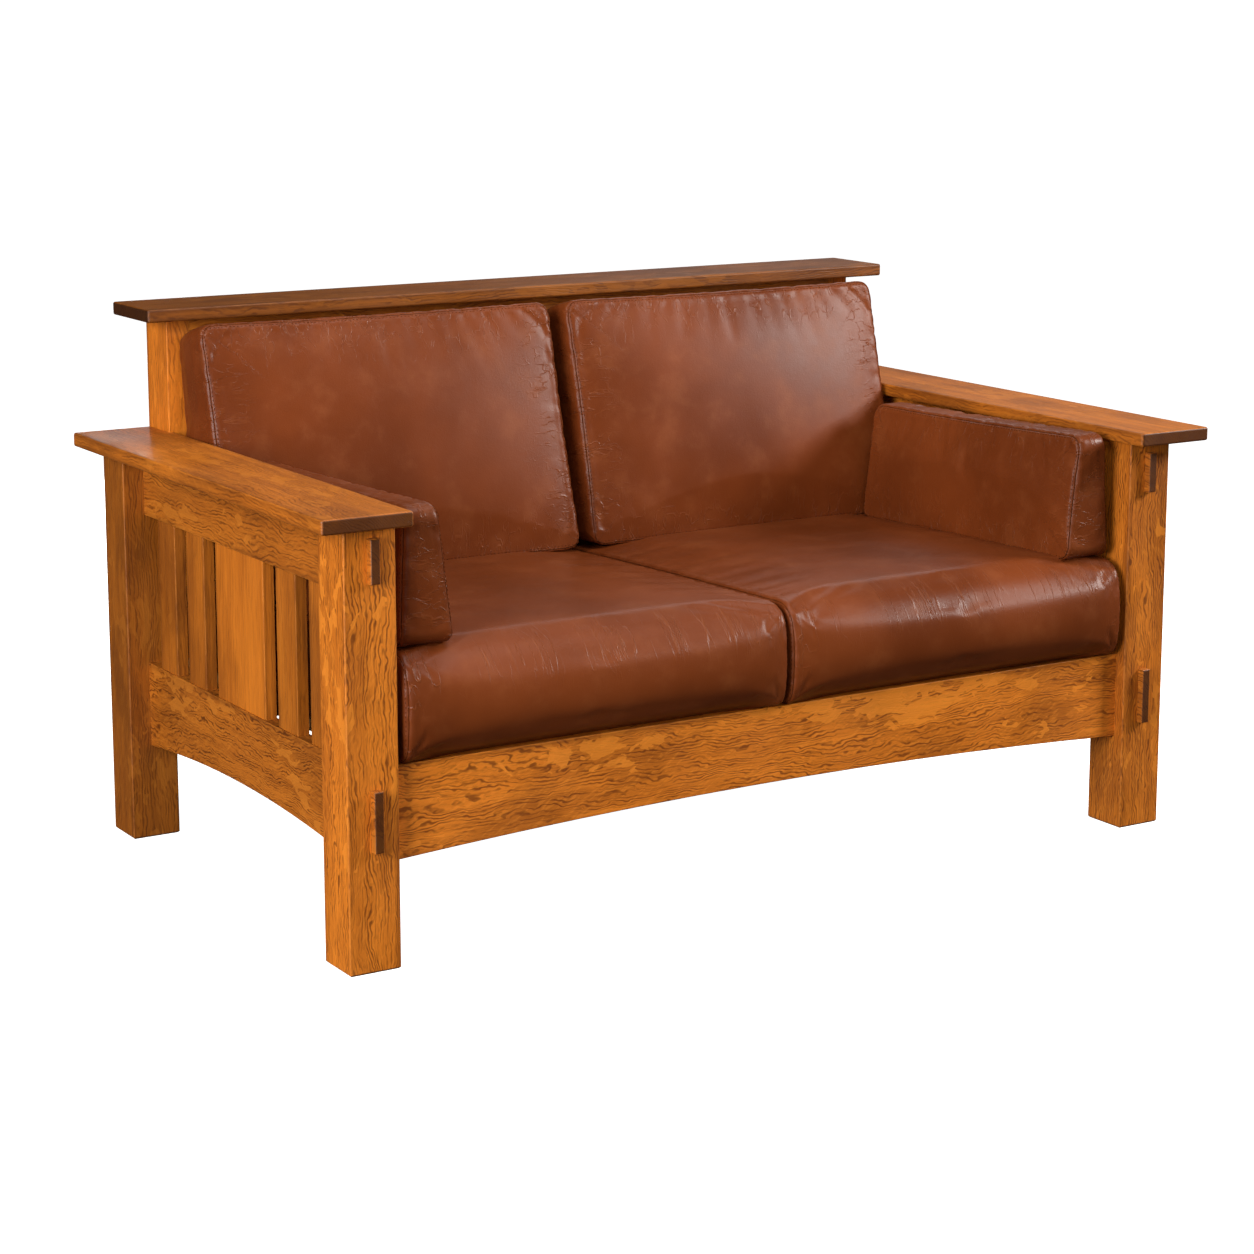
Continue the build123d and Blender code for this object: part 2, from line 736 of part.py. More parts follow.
def arm_pillow(side):
    """Small boxed cushion inside the arm, wider at its foot than at its head."""
    foot_outer = arm_inner_x - pillow_side_gap
    head_outer = foot_outer - pillow_outer_lean
    foot_inner = foot_outer - pillow_foot_width + pillow_crown
    head_inner = head_outer - pillow_head_width + pillow_crown
    y_low = leg_front_y + pillow_front_setback
    y_high = back_cushion_profile()[0][0] - pillow_back_gap
    front_low, back_low = pillow_rest_line(foot_inner + pillow_radius, y_low, y_high)

    def outline_at(share):
        low = front_low + share * (back_low - front_low)
        high = low + pillow_height
        full = fullness(share, SOFT_FILL_POWER)
        slack = pillow_draw * (1 - full)
        corners = [
            (foot_inner + slack, low + slack),
            (foot_outer - slack, low + slack),
            (head_outer - slack, high - slack),
            (head_inner + slack, high - slack),
        ]
        bows = [0, 0, 0, bow_at(full, pillow_crown)]
        outline = bowed_outline(corners, [pillow_radius] * len(corners), bows)
        return outline if side > 0 else outline.mirror(Plane.YZ)

    return lofted_cushion(outline_at, stations_between(y_low, y_high), lambda y: Plane(
        origin=(0, y, 0), x_dir=(1, 0, 0), z_dir=(0, -1, 0)))


def save(name, *solids):
    """Writes one piece, or a group of like pieces, to its own file."""
    bodies = []
    for solid in solids:
        bodies.extend(solid.solids())
    export_step(bodies[0] if len(bodies) == 1 else Compound(children=bodies), f"parts/{name}.step")


def save_side(name, side):
    """Writes the pieces of one side panel with its legs and arm board."""
    save(f"front_leg_{name}", front_leg(side))
    save(f"back_leg_{name}", back_leg(side))
    save(f"arm_board_{name}", arm_board(side))
    save(f"upper_side_rail_{name}", upper_side_rail(side))
    save(f"lower_side_rail_{name}", lower_side_rail(side))
    number = 0
    for start, width in side_slats():
        if width == wide_slat_width:
            save(f"wide_side_slat_{name}", side_slat(side, start, width))
        else:
            number += 1
            save(f"side_slat_{name}_{number}", side_slat(side, start, width))


def save_back():
    """Writes the pieces of the back frame and its crest board."""
    for name, side in SIDES.items():
        save(f"back_stile_{name}", stile(side))
    low_span, top_span = back_rails()
    save("back_lower_rail", back_rail(low_span))
    save("back_top_rail", back_rail(top_span))
    for number, start in enumerate(back_slat_starts(), 1):
        save(f"back_slat_{number}", back_slat(start))
    save("crest_board", crest_board())


def save_seat():
    """Writes the seat rails and the deck that carries the seat cushions."""
    front_screws, rear_screws = cleat_screws(fit_clearance)
    save("front_seat_rail", cut_holes(seat_rail(front_rail_front_y), front_screws))
    save("rear_seat_rail", cut_holes(seat_rail(rear_rail_front_y), rear_screws))
    save("front_deck_cleat", cleat(front_rail_back_y, 1))
    save("rear_deck_cleat", cleat(rear_rail_front_y, -1))
    for number, start in enumerate(deck_slats(), 1):
        save(f"deck_slat_{number}", deck_slat(start))


def save_hardware():
    """Writes the dowels, bolts, washers and screws, each kind as one group."""
    arm_pins = [dowel(x, y, leg_top) for side in SIDES.values() for x, y in arm_dowel_places(side)]
    save("arm_dowels", *arm_pins)
    save("crest_dowels", *[dowel(x, y, crest_bottom) for x, y in crest_dowel_places()])
    bolt_places = [(side, height) for side in SIDES.values() for height in bolt_heights]
    save("back_frame_bolts", *[frame_bolt(side, height) for side, height in bolt_places])
    save("back_frame_washers", *[bolt_washer(side, height) for side, height in bolt_places])
    save("deck_screws", *deck_screws())
    front_screws, rear_screws = cleat_screws()
    save("cleat_screws", *front_screws, *rear_screws)


def save_cushions():
    """Writes the six loose cushions."""
    for name, side in SIDES.items():
        save(f"seat_cushion_{name}", seat_cushion(side))
        save(f"back_cushion_{name}", back_cushion(side))
        save(f"arm_pillow_{name}", arm_pillow(side))


for side_name, side_sign in SIDES.items():
    save_side(side_name, side_sign)
save_back()
save_seat()
save_hardware()
save_cushions()
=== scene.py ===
import json
import math

import bpy
import numpy as np
from mathutils.kdtree import KDTree
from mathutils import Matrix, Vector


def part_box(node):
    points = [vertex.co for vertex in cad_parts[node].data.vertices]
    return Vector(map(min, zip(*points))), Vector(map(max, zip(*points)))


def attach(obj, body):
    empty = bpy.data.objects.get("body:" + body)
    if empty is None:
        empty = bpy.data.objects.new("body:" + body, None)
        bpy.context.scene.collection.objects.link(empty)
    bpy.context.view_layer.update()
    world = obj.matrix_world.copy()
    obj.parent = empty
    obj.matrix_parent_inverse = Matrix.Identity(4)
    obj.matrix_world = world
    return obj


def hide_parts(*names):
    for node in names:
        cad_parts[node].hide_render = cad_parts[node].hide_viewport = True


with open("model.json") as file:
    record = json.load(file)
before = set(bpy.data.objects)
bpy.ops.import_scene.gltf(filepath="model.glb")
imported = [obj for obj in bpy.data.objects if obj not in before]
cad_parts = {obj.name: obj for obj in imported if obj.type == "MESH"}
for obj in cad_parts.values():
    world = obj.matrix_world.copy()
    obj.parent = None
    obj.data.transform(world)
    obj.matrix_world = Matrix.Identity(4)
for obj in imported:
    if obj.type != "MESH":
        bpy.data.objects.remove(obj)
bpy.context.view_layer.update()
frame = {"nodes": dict(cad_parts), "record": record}  # bodies, nodes, joints, record

# Looks of the two-seat mission settle: stained quartersawn oak and loose leather cushions.
# Lengths are in metres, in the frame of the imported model.


# Shader building

def node(tree, kind, inputs=None, **settings):
    """Adds a shader node. Each input is a plain value or the output of another node."""
    made = tree.nodes.new("ShaderNode" + kind)
    for key, value in settings.items():
        setattr(made, key, value)
    for key, value in (inputs or {}).items():
        if isinstance(value, bpy.types.NodeSocket):
            tree.links.new(value, made.inputs[key])
        else:
            made.inputs[key].default_value = value
    return made


def calc(tree, operation, *values):
    """Output of one math node."""
    return node(tree, "Math", dict(enumerate(values)), operation=operation).outputs[0]


def vector_calc(tree, operation, *values):
    """Output of one vector math node."""
    return node(tree, "VectorMath", dict(enumerate(values)), operation=operation).outputs[0]


def ranged(tree, value, low, high, to_low=0.0, to_high=1.0):
    """A value eased from one range to another and held at both ends."""
    inputs = {"Value": value, "From Min": low, "From Max": high, "To Min": to_low, "To Max": to_high}
    return node(tree, "MapRange", inputs, interpolation_type="SMOOTHSTEP").outputs["Result"]


def mixed(tree, share, first, second, mode="MIX"):
    """Two colours mixed by a share."""
    inputs = {0: share, 6: first, 7: second}
    return node(tree, "Mix", inputs, data_type="RGBA", blend_type=mode).outputs[2]


def noise(tree, place, scale=1.0, detail=3.0, roughness=0.5, distortion=0.0):
    """Fractal noise, about 0.5 on average."""
    inputs = {
        "Vector": place,
        "Scale": scale,
        "Detail": detail,
        "Roughness": roughness,
        "Distortion": distortion,
    }
    return node(tree, "TexNoise", inputs).outputs["Fac"]


def new_material(name):
    """An empty node material with its principled shader."""
    material = bpy.data.materials.new(name)
    material.use_nodes = True
    tree = material.node_tree
    tree.nodes.clear()
    shader = node(tree, "BsdfPrincipled")
    out = node(tree, "OutputMaterial")
    tree.links.new(shader.outputs[0], out.inputs["Surface"])
    return material, tree, shader


def add_bump(tree, shader, height, distance):
    """Raises the surface by a height given as a share of a distance."""
    bump = node(tree, "Bump", {"Height": height, "Distance": distance, "Strength": 1.0})
    tree.links.new(bump.outputs[0], shader.inputs["Normal"])


# Wood and steel

OAK_DARK = (0.100, 0.0215, 0.0021, 1)
OAK_MIDDLE = (0.450, 0.124, 0.0100, 1)
OAK_LIGHT = (0.610, 0.178, 0.0150, 1)
OAK_FLECK = (0.680, 0.222, 0.0240, 1)
OAK_END = (0.046, 0.0120, 0.0024, 1)
# Distance between the fine dark lines of the grain, and how far noise shifts them, in radians
LINE_SPACING = 0.0052
LINE_JITTER = 8.0
# What each board adds to its place, times its number, so that no two show the same pattern
BOARD_STEP = (1.73, 0.91, 1.37)
PLAIN_DARK = (0.17, 0.085, 0.030, 1)
PLAIN_MIDDLE = (0.26, 0.140, 0.055, 1)
PLAIN_LIGHT = (0.36, 0.205, 0.085, 1)
STEEL_DARK = (0.50, 0.51, 0.53, 1)
STEEL_LIGHT = (0.68, 0.68, 0.69, 1)

# Axes of a board as along its grain, across it and through the board
ALONG_X = (0, 2, 1)
ALONG_X_FLAT = (0, 1, 2)
ALONG_Y = (1, 2, 0)
ALONG_Y_FLAT = (1, 0, 2)
ALONG_Z = (2, 0, 1)
ALONG_Z_SIDE = (2, 1, 0)
# Boards whose golden patches lie near their top
TOP_FIGURED = ("front_seat_rail", "rear_seat_rail")
# Axes, tone and boldness of figure by the start of a node's name, the first match holding. The tone is
# partly the board's own and partly painted light and shade for how the light falls on each board: the back
# legs and the crest board are darkened as painted shade, the front legs and the front seat rail lightened
# as painted light
OAK_BOARDS = (
    ("front_leg", ALONG_Z, 1.16, 0.90),
    ("back_leg", ALONG_Z, 0.68, 0.60),
    ("arm_board", ALONG_Y_FLAT, 0.94, 0.55),
    ("upper_side_rail", ALONG_Y, 0.86, 0.75),
    ("lower_side_rail", ALONG_Y, 0.84, 1.00),
    ("side_slat", ALONG_Z_SIDE, 0.86, 0.28),
    ("wide_side_slat", ALONG_Z_SIDE, 1.10, 0.14),
    ("front_seat_rail", ALONG_X, 1.42, 0.88),
    ("rear_seat_rail", ALONG_X, 0.98, 0.80),
    ("back_stile", ALONG_Z, 1.34, 0.50),
    ("back_top_rail", ALONG_X, 0.96, 0.60),
    ("back_lower_rail", ALONG_X, 1.00, 0.80),
    ("back_slat", ALONG_Z, 1.00, 0.35),
    ("crest_board", ALONG_X_FLAT, 0.44, 0.60),
)


def board_place(tree, order, seed):
    """Place on a board as along, across and through, each board in its own part of the pattern."""
    place = node(tree, "TexCoord").outputs["Object"]
    parts = node(tree, "SeparateXYZ", {0: place}).outputs
    turned = node(tree, "CombineXYZ", {index: parts[axis] for index, axis in enumerate(order)})
    return vector_calc(tree, "ADD", turned.outputs[0], tuple(seed * step for step in BOARD_STEP))


def edge_distances(tree, low, high, order):
    """Distance to the board's nearest long edge, and to the nearest of its two ends."""
    place = node(tree, "TexCoord").outputs["Object"]
    centre = [(a + b) / 2 for a, b in zip(low, high)]
    half = [(b - a) / 2 for a, b in zip(low, high)]
    offset = vector_calc(tree, "ABSOLUTE", vector_calc(tree, "SUBTRACT", place, centre))
    inside = node(tree, "SeparateXYZ", {0: vector_calc(tree, "SUBTRACT", half, offset)}).outputs
    along, across, through = (inside[axis] for axis in order)
    return calc(tree, "MAXIMUM", across, through), along


def bent_grain(tree, place, bold):
    """The board's place with its grain swaying from side to side, more so on a bold board."""
    drift = noise(tree, vector_calc(tree, "MULTIPLY", place, (2.2, 6.0, 6.0)), detail=2)
    sway = noise(tree, vector_calc(tree, "MULTIPLY", place, (13.0, 26.0, 26.0)), detail=3, roughness=0.6)
    shift = calc(tree, "MULTIPLY", calc(tree, "SUBTRACT", drift, 0.5), 0.030 + 0.030 * bold)
    wave = calc(tree, "MULTIPLY", calc(tree, "SUBTRACT", sway, 0.5), 0.020 * bold)
    shift = calc(tree, "ADD", shift, wave)
    push = node(tree, "CombineXYZ", {1: shift, 2: shift}).outputs[0]
    return vector_calc(tree, "ADD", place, push)


def ray_streaks(tree, place, slant):
    """Narrow pale rays that cross the grain at a slant."""
    parts = node(tree, "SeparateXYZ", {0: place}).outputs
    across = calc(tree, "ADD", parts[1], parts[2])
    cosine = math.cos(slant)
    sine = math.sin(slant)
    along = calc(
        tree, "ADD", calc(tree, "MULTIPLY", parts[0], cosine), calc(tree, "MULTIPLY", across, sine)
    )
    beside = calc(
        tree, "SUBTRACT", calc(tree, "MULTIPLY", across, cosine), calc(tree, "MULTIPLY", parts[0], sine)
    )
    turned = node(tree, "CombineXYZ", {0: along, 1: beside}).outputs[0]
    ray = noise(tree, vector_calc(tree, "MULTIPLY", turned, (34, 190, 1)), detail=2, distortion=0.6)
    return ranged(tree, ray, 0.53, 0.62)


def ray_blobs(tree, place, bent, near_top):
    """Smooth golden patches where the saw ran along the rays, kept near the top of some boards."""
    where = noise(tree, vector_calc(tree, "MULTIPLY", place, (4.5, 11, 11)), detail=1)
    if near_top:
        z = node(tree, "SeparateXYZ", {0: node(tree, "TexCoord").outputs["Object"]}).outputs[2]
        where = calc(tree, "ADD", where, ranged(tree, z, near_top - 0.075, near_top - 0.015, -0.16, 0.10))
    stretched = vector_calc(tree, "MULTIPLY", bent, (21, 46, 46))
    patch = noise(tree, stretched, detail=3, roughness=0.45, distortion=0.9)
    level = calc(tree, "ADD", patch, calc(tree, "MULTIPLY", calc(tree, "SUBTRACT", where, 0.5), 0.9))
    return ranged(tree, level, 0.635, 0.665)


def oak_figure(tree, place, bold, slant, near_top):
    """Colour and height of quartersawn oak: short dark grain lines, golden patches and slanting rays."""
    bent = bent_grain(tree, place, bold)
    parts = node(tree, "SeparateXYZ", {0: bent}).outputs
    across = calc(tree, "MULTIPLY", calc(tree, "ADD", parts[1], parts[2]), 2 * math.pi / LINE_SPACING)
    jitter = noise(tree, vector_calc(tree, "MULTIPLY", bent, (30, 48, 48)), detail=2, roughness=0.5)
    phase = calc(tree, "ADD", across, calc(tree, "MULTIPLY", jitter, LINE_JITTER))
    hair = ranged(tree, calc(tree, "SINE", phase), -0.15, 1.0)
    broken = noise(tree, vector_calc(tree, "MULTIPLY", bent, (16, 110, 110)), detail=3, roughness=0.6)
    dash = calc(tree, "MULTIPLY", hair, ranged(tree, broken, 0.62, 0.40, 0.10, 1.0))
    line = noise(tree, vector_calc(tree, "MULTIPLY", bent, (7, 620, 620)), detail=3, roughness=0.6)
    band = noise(tree, vector_calc(tree, "MULTIPLY", bent, (2.4, 34, 34)), detail=4, roughness=0.6)
    cloud = noise(tree, vector_calc(tree, "MULTIPLY", place, (5, 12, 12)), detail=3)
    blob = calc(tree, "MULTIPLY", ray_blobs(tree, place, bent, near_top), min(1.0, bold * 1.1))
    ray = calc(tree, "MULTIPLY", ray_streaks(tree, place, slant), bold * 0.75)
    colour = mixed(tree, ranged(tree, band, 0.30, 0.70), OAK_MIDDLE, OAK_LIGHT)
    colour = mixed(tree, calc(tree, "MULTIPLY", ranged(tree, cloud, 0.56, 0.30), 0.40), colour, OAK_DARK)
    colour = mixed(tree, calc(tree, "MULTIPLY", ray, 0.40), colour, OAK_FLECK)
    dark = calc(tree, "MULTIPLY", dash, 0.16 + 0.70 * bold)
    colour = mixed(tree, calc(tree, "MULTIPLY", dark, calc(tree, "SUBTRACT", 1.0, blob)), colour, OAK_DARK)
    colour = mixed(tree, ranged(tree, line, 0.50, 0.32, 0, 0.38), colour, OAK_DARK)
    colour = mixed(tree, calc(tree, "MULTIPLY", blob, 0.50), colour, OAK_FLECK)
    height = calc(tree, "SUBTRACT", calc(tree, "MULTIPLY", line, 0.6), calc(tree, "MULTIPLY", dash, 0.3))
    return colour, height, blob


def oak_material(name, order, seed, tone_and_painted_light, bold):
    """Stained oak for one board, darker at its edges and ends, its grain along the order's first axis, its
    colour scaled by a tone that is partly painted light and shade.
    """
    low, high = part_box(name)
    material, tree, shader = new_material("oak_" + name)
    place = board_place(tree, order, seed)
    near_top = high.z if name in TOP_FIGURED else 0
    slant = math.radians(32 if seed % 2 else -28)
    colour, height, blob = oak_figure(tree, place, bold, slant, near_top)
    edge, end = edge_distances(tree, low, high, order)
    worn = noise(tree, place, scale=40, detail=3)
    wear = calc(tree, "MULTIPLY", ranged(tree, edge, 0.0005, 0.0030, 1, 0), ranged(tree, worn, 0.30, 0.65))
    stain = noise(tree, vector_calc(tree, "MULTIPLY", place, (4, 24, 24)), detail=3)
    rim = calc(tree, "MULTIPLY", ranged(tree, edge, 0.0010, 0.0110, 1, 0), ranged(tree, stain, 0.36, 0.60))
    colour = mixed(tree, calc(tree, "MULTIPLY", rim, 0.50), colour, OAK_DARK)
    colour = mixed(tree, calc(tree, "MULTIPLY", wear, 0.40), colour, OAK_FLECK)
    cut = ranged(tree, end, 0.0004, 0.0012, 1, 0)
    colour = mixed(tree, calc(tree, "MULTIPLY", cut, 0.85), colour, OAK_END)
    # Scales the colour by the board's tone, partly its own and partly painted light and shade
    shade = (tone_and_painted_light, tone_and_painted_light, tone_and_painted_light, 1)
    colour = mixed(tree, 1.0, colour, shade, "MULTIPLY")
    tree.links.new(colour, shader.inputs["Base Color"])
    rough = ranged(tree, noise(tree, place, scale=9, detail=4), 0.3, 0.7, 0.40, 0.52)
    rough = calc(tree, "SUBTRACT", rough, calc(tree, "MULTIPLY", blob, 0.05))
    tree.links.new(rough, shader.inputs["Roughness"])
    shader.inputs["Specular IOR Level"].default_value = 0.30
    shader.inputs["Coat Weight"].default_value = 0.04
    shader.inputs["Coat Roughness"].default_value = 0.30
    add_bump(tree, shader, height, 0.0004)
    return material


def plain_wood_material():
    """Plain brown wood of the hidden deck and dowels."""
    material, tree, shader = new_material("plain_wood")
    place = node(tree, "TexCoord").outputs["Object"]
    ring = noise(tree, vector_calc(tree, "MULTIPLY", place, (130, 5, 130)), detail=4, roughness=0.6)
    band = noise(tree, vector_calc(tree, "MULTIPLY", place, (26, 2, 26)), detail=3)
    colour = mixed(tree, ranged(tree, band, 0.35, 0.65), PLAIN_MIDDLE, PLAIN_LIGHT)
    colour = mixed(tree, ranged(tree, ring, 0.55, 0.35, 0, 0.6), colour, PLAIN_DARK)
    tree.links.new(colour, shader.inputs["Base Color"])
    tree.links.new(ranged(tree, band, 0.3, 0.7, 0.55, 0.7), shader.inputs["Roughness"])
    add_bump(tree, shader, ring, 0.0005)
    return material


def steel_material():
    """Zinc plated steel of the bolts, washers and screws."""
    material, tree, shader = new_material("steel")
    place = node(tree, "TexCoord").outputs["Object"]
    cloud = noise(tree, place, scale=420, detail=4)
    colour = mixed(tree, ranged(tree, cloud, 0.35, 0.65), STEEL_DARK, STEEL_LIGHT)
    tree.links.new(colour, shader.inputs["Base Color"])
    tree.links.new(ranged(tree, cloud, 0.3, 0.7, 0.25, 0.42), shader.inputs["Roughness"])
    shader.inputs["Metallic"].default_value = 1.0
    add_bump(tree, shader, cloud, 0.00005)
    return material


def paint_nodes():
    """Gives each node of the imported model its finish."""
    slots = {part["node"]: part["material_slot"] for part in frame["record"]["subparts"]}
    shared = {"plain_wood": plain_wood_material(), "steel": steel_material()}
    for seed, name in enumerate(sorted(frame["nodes"]), 1):
        slot = slots[name]
        if slot == "leather":
            continue
        if slot == "oak":
            # The tone is partly painted light and shade, each board lighter or darker for how the light
            # falls on it
            order, tone_and_painted_light, bold = next(row[1:] for row in OAK_BOARDS if name.startswith(row[0]))
            # Each board is up to 5% lighter or darker than its kind
            spread = 0.95 + 0.10 * ((seed * 0.618) % 1)
            material = oak_material(name, order, seed, tone_and_painted_light * spread, bold)
        else:
            material = shared[slot]
        mesh = frame["nodes"][name].data
        mesh.materials.clear()
        mesh.materials.append(material)


# Leather and thread

LEATHER_DARK = (0.126, 0.0260, 0.0052, 1)
LEATHER_MIDDLE = (0.186, 0.0400, 0.0080, 1)
# LEATHER_LIGHT is the pale mottling and, on the creases, partly a painted highlight
LEATHER_LIGHT = (0.36, 0.112, 0.034, 1)
THREAD_DARK = (0.030, 0.0080, 0.0030, 1)
THREAD_LIGHT = (0.075, 0.020, 0.0070, 1)


def leather_material():
    """Semi-gloss leather with fine grain, broad mottling and short creases where it is drawn tight, the
    creases drawn paler, partly the worn leather's own colour and partly a painted highlight on their
    ridges.
    """
    material, tree, shader = new_material("leather")
    place = node(tree, "TexCoord").outputs["Object"]
    creased = node(tree, "Attribute", attribute_name="creased").outputs["Fac"]
    cover = node(tree, "Attribute", attribute_name="cover").outputs["Vector"]
    cloud = noise(tree, place, scale=4.0, detail=4, roughness=0.55)
    mottle = noise(tree, place, scale=19, detail=5, roughness=0.6)
    cell_inputs = {"Vector": place, "Scale": 700.0, "Randomness": 0.9}
    grain = node(tree, "TexVoronoi", cell_inputs).outputs["Distance"]
    pebble = noise(tree, place, scale=260, detail=3, roughness=0.6)
    stretched = vector_calc(tree, "MULTIPLY", cover, (60, 24, 1))
    run = noise(tree, stretched, detail=2, roughness=0.5, distortion=0.7)
    off_crease = calc(tree, "ABSOLUTE", calc(tree, "SUBTRACT", run, 0.5))
    fold = ranged(tree, off_crease, 0.030, 0.0)
    some = ranged(tree, noise(tree, cover, scale=26, detail=2), 0.38, 0.56)
    fold = calc(tree, "MULTIPLY", calc(tree, "MULTIPLY", fold, creased), some)
    colour = mixed(tree, ranged(tree, cloud, 0.30, 0.70), LEATHER_DARK, LEATHER_MIDDLE)
    colour = mixed(tree, ranged(tree, mottle, 0.48, 0.74, 0, 0.14), colour, LEATHER_LIGHT)
    # Paler crease lines: partly the worn leather's colour and partly a painted highlight on the ridges
    colour = mixed(tree, calc(tree, "MULTIPLY", fold, 0.18), colour, LEATHER_LIGHT)
    tree.links.new(colour, shader.inputs["Base Color"])
    rough = ranged(tree, cloud, 0.3, 0.7, 0.34, 0.40)
    rough = calc(tree, "ADD", rough, ranged(tree, mottle, 0.35, 0.65, -0.02, 0.03))
    tree.links.new(rough, shader.inputs["Roughness"])
    shader.inputs["Specular IOR Level"].default_value = 0.19
    fine = calc(tree, "MULTIPLY", grain, 0.05)
    fine = calc(tree, "ADD", fine, calc(tree, "MULTIPLY", pebble, 0.07))
    raised = calc(tree, "ADD", fine, calc(tree, "MULTIPLY", fold, 0.42))
    add_bump(tree, shader, raised, 0.0016)
    return material


def thread_material():
    """Waxed dark brown thread."""
    material, tree, shader = new_material("thread")
    place = node(tree, "TexCoord").outputs["Object"]
    twist = noise(tree, place, scale=1500, detail=2)
    colour = mixed(tree, twist, THREAD_DARK, THREAD_LIGHT)
    tree.links.new(colour, shader.inputs["Base Color"])
    tree.links.new(ranged(tree, twist, 0.3, 0.7, 0.6, 0.75), shader.inputs["Roughness"])
    shader.inputs["Specular IOR Level"].default_value = 0.0
    add_bump(tree, shader, twist, 0.0002)
    return material


# Cushion shapes

# Points of an outline's corner arc and of each side between two arcs
ARC_POINTS = 33
SIDE_POINTS = 41
# Step between the points of an outline while it is eased, and how far that softens its turns
EASE_SPACING = 0.002
EASE_REACH = 0.008


def unit(vector):
    """The vector with a length of 1."""
    return vector / np.linalg.norm(vector)


def graded(count, pull):
    """Shares from 0 to 1, closer together near both ends."""
    even = np.linspace(0, 1, count + 1)
    return even - pull * np.sin(2 * math.pi * even) / (2 * math.pi)


def corner_arc(before, corner, after, radius):
    """Points of the arc that rounds a corner."""
    toward = unit(before - corner)
    onward = unit(after - corner)
    half_angle = math.acos(np.clip(toward @ onward, -1, 1)) / 2
    centre = corner + unit(toward + onward) * radius / math.sin(half_angle)
    reach = radius / math.tan(half_angle)
    first = corner + toward * reach - centre
    last = corner + onward * reach - centre
    sweep = math.pi - 2 * half_angle
    share = np.linspace(0, 1, ARC_POINTS)[:, None]
    return centre + (np.sin((1 - share) * sweep) * first + np.sin(share * sweep) * last) / math.sin(sweep)


def eased(path, spacing, reach):
    """A closed evenly spaced path with its turns softened over a reach."""
    furthest = int(round(3 * reach / spacing))
    steps = np.arange(-furthest, furthest + 1)
    weights = np.exp(-0.5 * (steps * spacing / reach) ** 2)
    total = sum(weight * np.roll(path, -step, 0) for weight, step in zip(weights, steps))
    return total / weights.sum()


def rounded_outline(corners, radii, bows, shares):
    """Points round a four-sided bowed outline, each side from mid corner to mid corner."""
    corners = [np.array(corner, float) for corner in corners]
    arcs = [
        corner_arc(corners[side - 1], corners[side], corners[(side + 1) % 4], radii[side])
        for side in range(4)
    ]
    runs = []
    for side in range(4):
        start = arcs[side]
        finish = arcs[(side + 1) % 4]
        middle = len(start) // 2
        first = start[-1]
        last = finish[0]
        step = np.linspace(0, 1, SIDE_POINTS)[1:-1, None]
        along = unit(last - first)
        outward = np.array((along[1], -along[0]))
        straight = first + (last - first) * step + outward * bows[side] * 4 * step * (1 - step)
        runs.append(np.vstack((start[middle:], straight, finish[:middle])))
    fine = resampled(np.vstack(runs), EASE_SPACING)
    soft = eased(fine, EASE_SPACING, EASE_REACH)
    starts = [int(np.argmin(((fine - run[0]) ** 2).sum(1))) for run in runs]
    points = []
    for side in range(4):
        count = (starts[(side + 1) % 4] - starts[side]) % len(soft)
        run = soft[(starts[side] + np.arange(count + 1)) % len(soft)]
        lengths = np.concatenate(([0], np.cumsum(np.linalg.norm(np.diff(run, axis=0), axis=1))))
        wanted = shares[side % 2][:-1] * lengths[-1]
        points.append(np.column_stack([np.interp(wanted, lengths, column) for column in run.T]))
    return np.vstack(points)


def fullness(share, power):
    """How far a cushion has filled out, 0 at its sewn ends and 1 at its middle."""
    return 1 - abs(2 * share - 1) ** power


def panel_grid(ring, across, up):
    """A sheet of points that fills a closed ring, as a grid of across by up cells."""
    bottom = ring[:across + 1]
    right = ring[across:across + up + 1]
    top = ring[across + up:2 * across + up + 1][::-1]
    left = np.vstack((ring[2 * across + up:], ring[:1]))[::-1]
    lengths = np.concatenate(([0], np.cumsum(np.linalg.norm(np.diff(bottom, axis=0), axis=1))))
    u = (lengths / lengths[-1])[:, None, None]
    heights = np.concatenate(([0], np.cumsum(np.linalg.norm(np.diff(left, axis=0), axis=1))))
    v = (heights / heights[-1])[None, :, None]
    sheet = (1 - v) * bottom[:, None] + v * top[:, None] + (1 - u) * left[None] + u * right[None]
    corners = (1 - u) * (1 - v) * bottom[0] + u * (1 - v) * bottom[-1]
    corners = corners + (1 - u) * v * top[0] + u * v * top[-1]
    return sheet - corners, u[..., 0], v[..., 0]


def crowned_panel(ring, across, up, crown, outward, power):
    """A sewn panel that swells out from its seam."""
    sheet, u, v = panel_grid(ring, across, up)
    swell = fullness(u, power) * fullness(v, power)
    return sheet + crown * swell[..., None] * outward


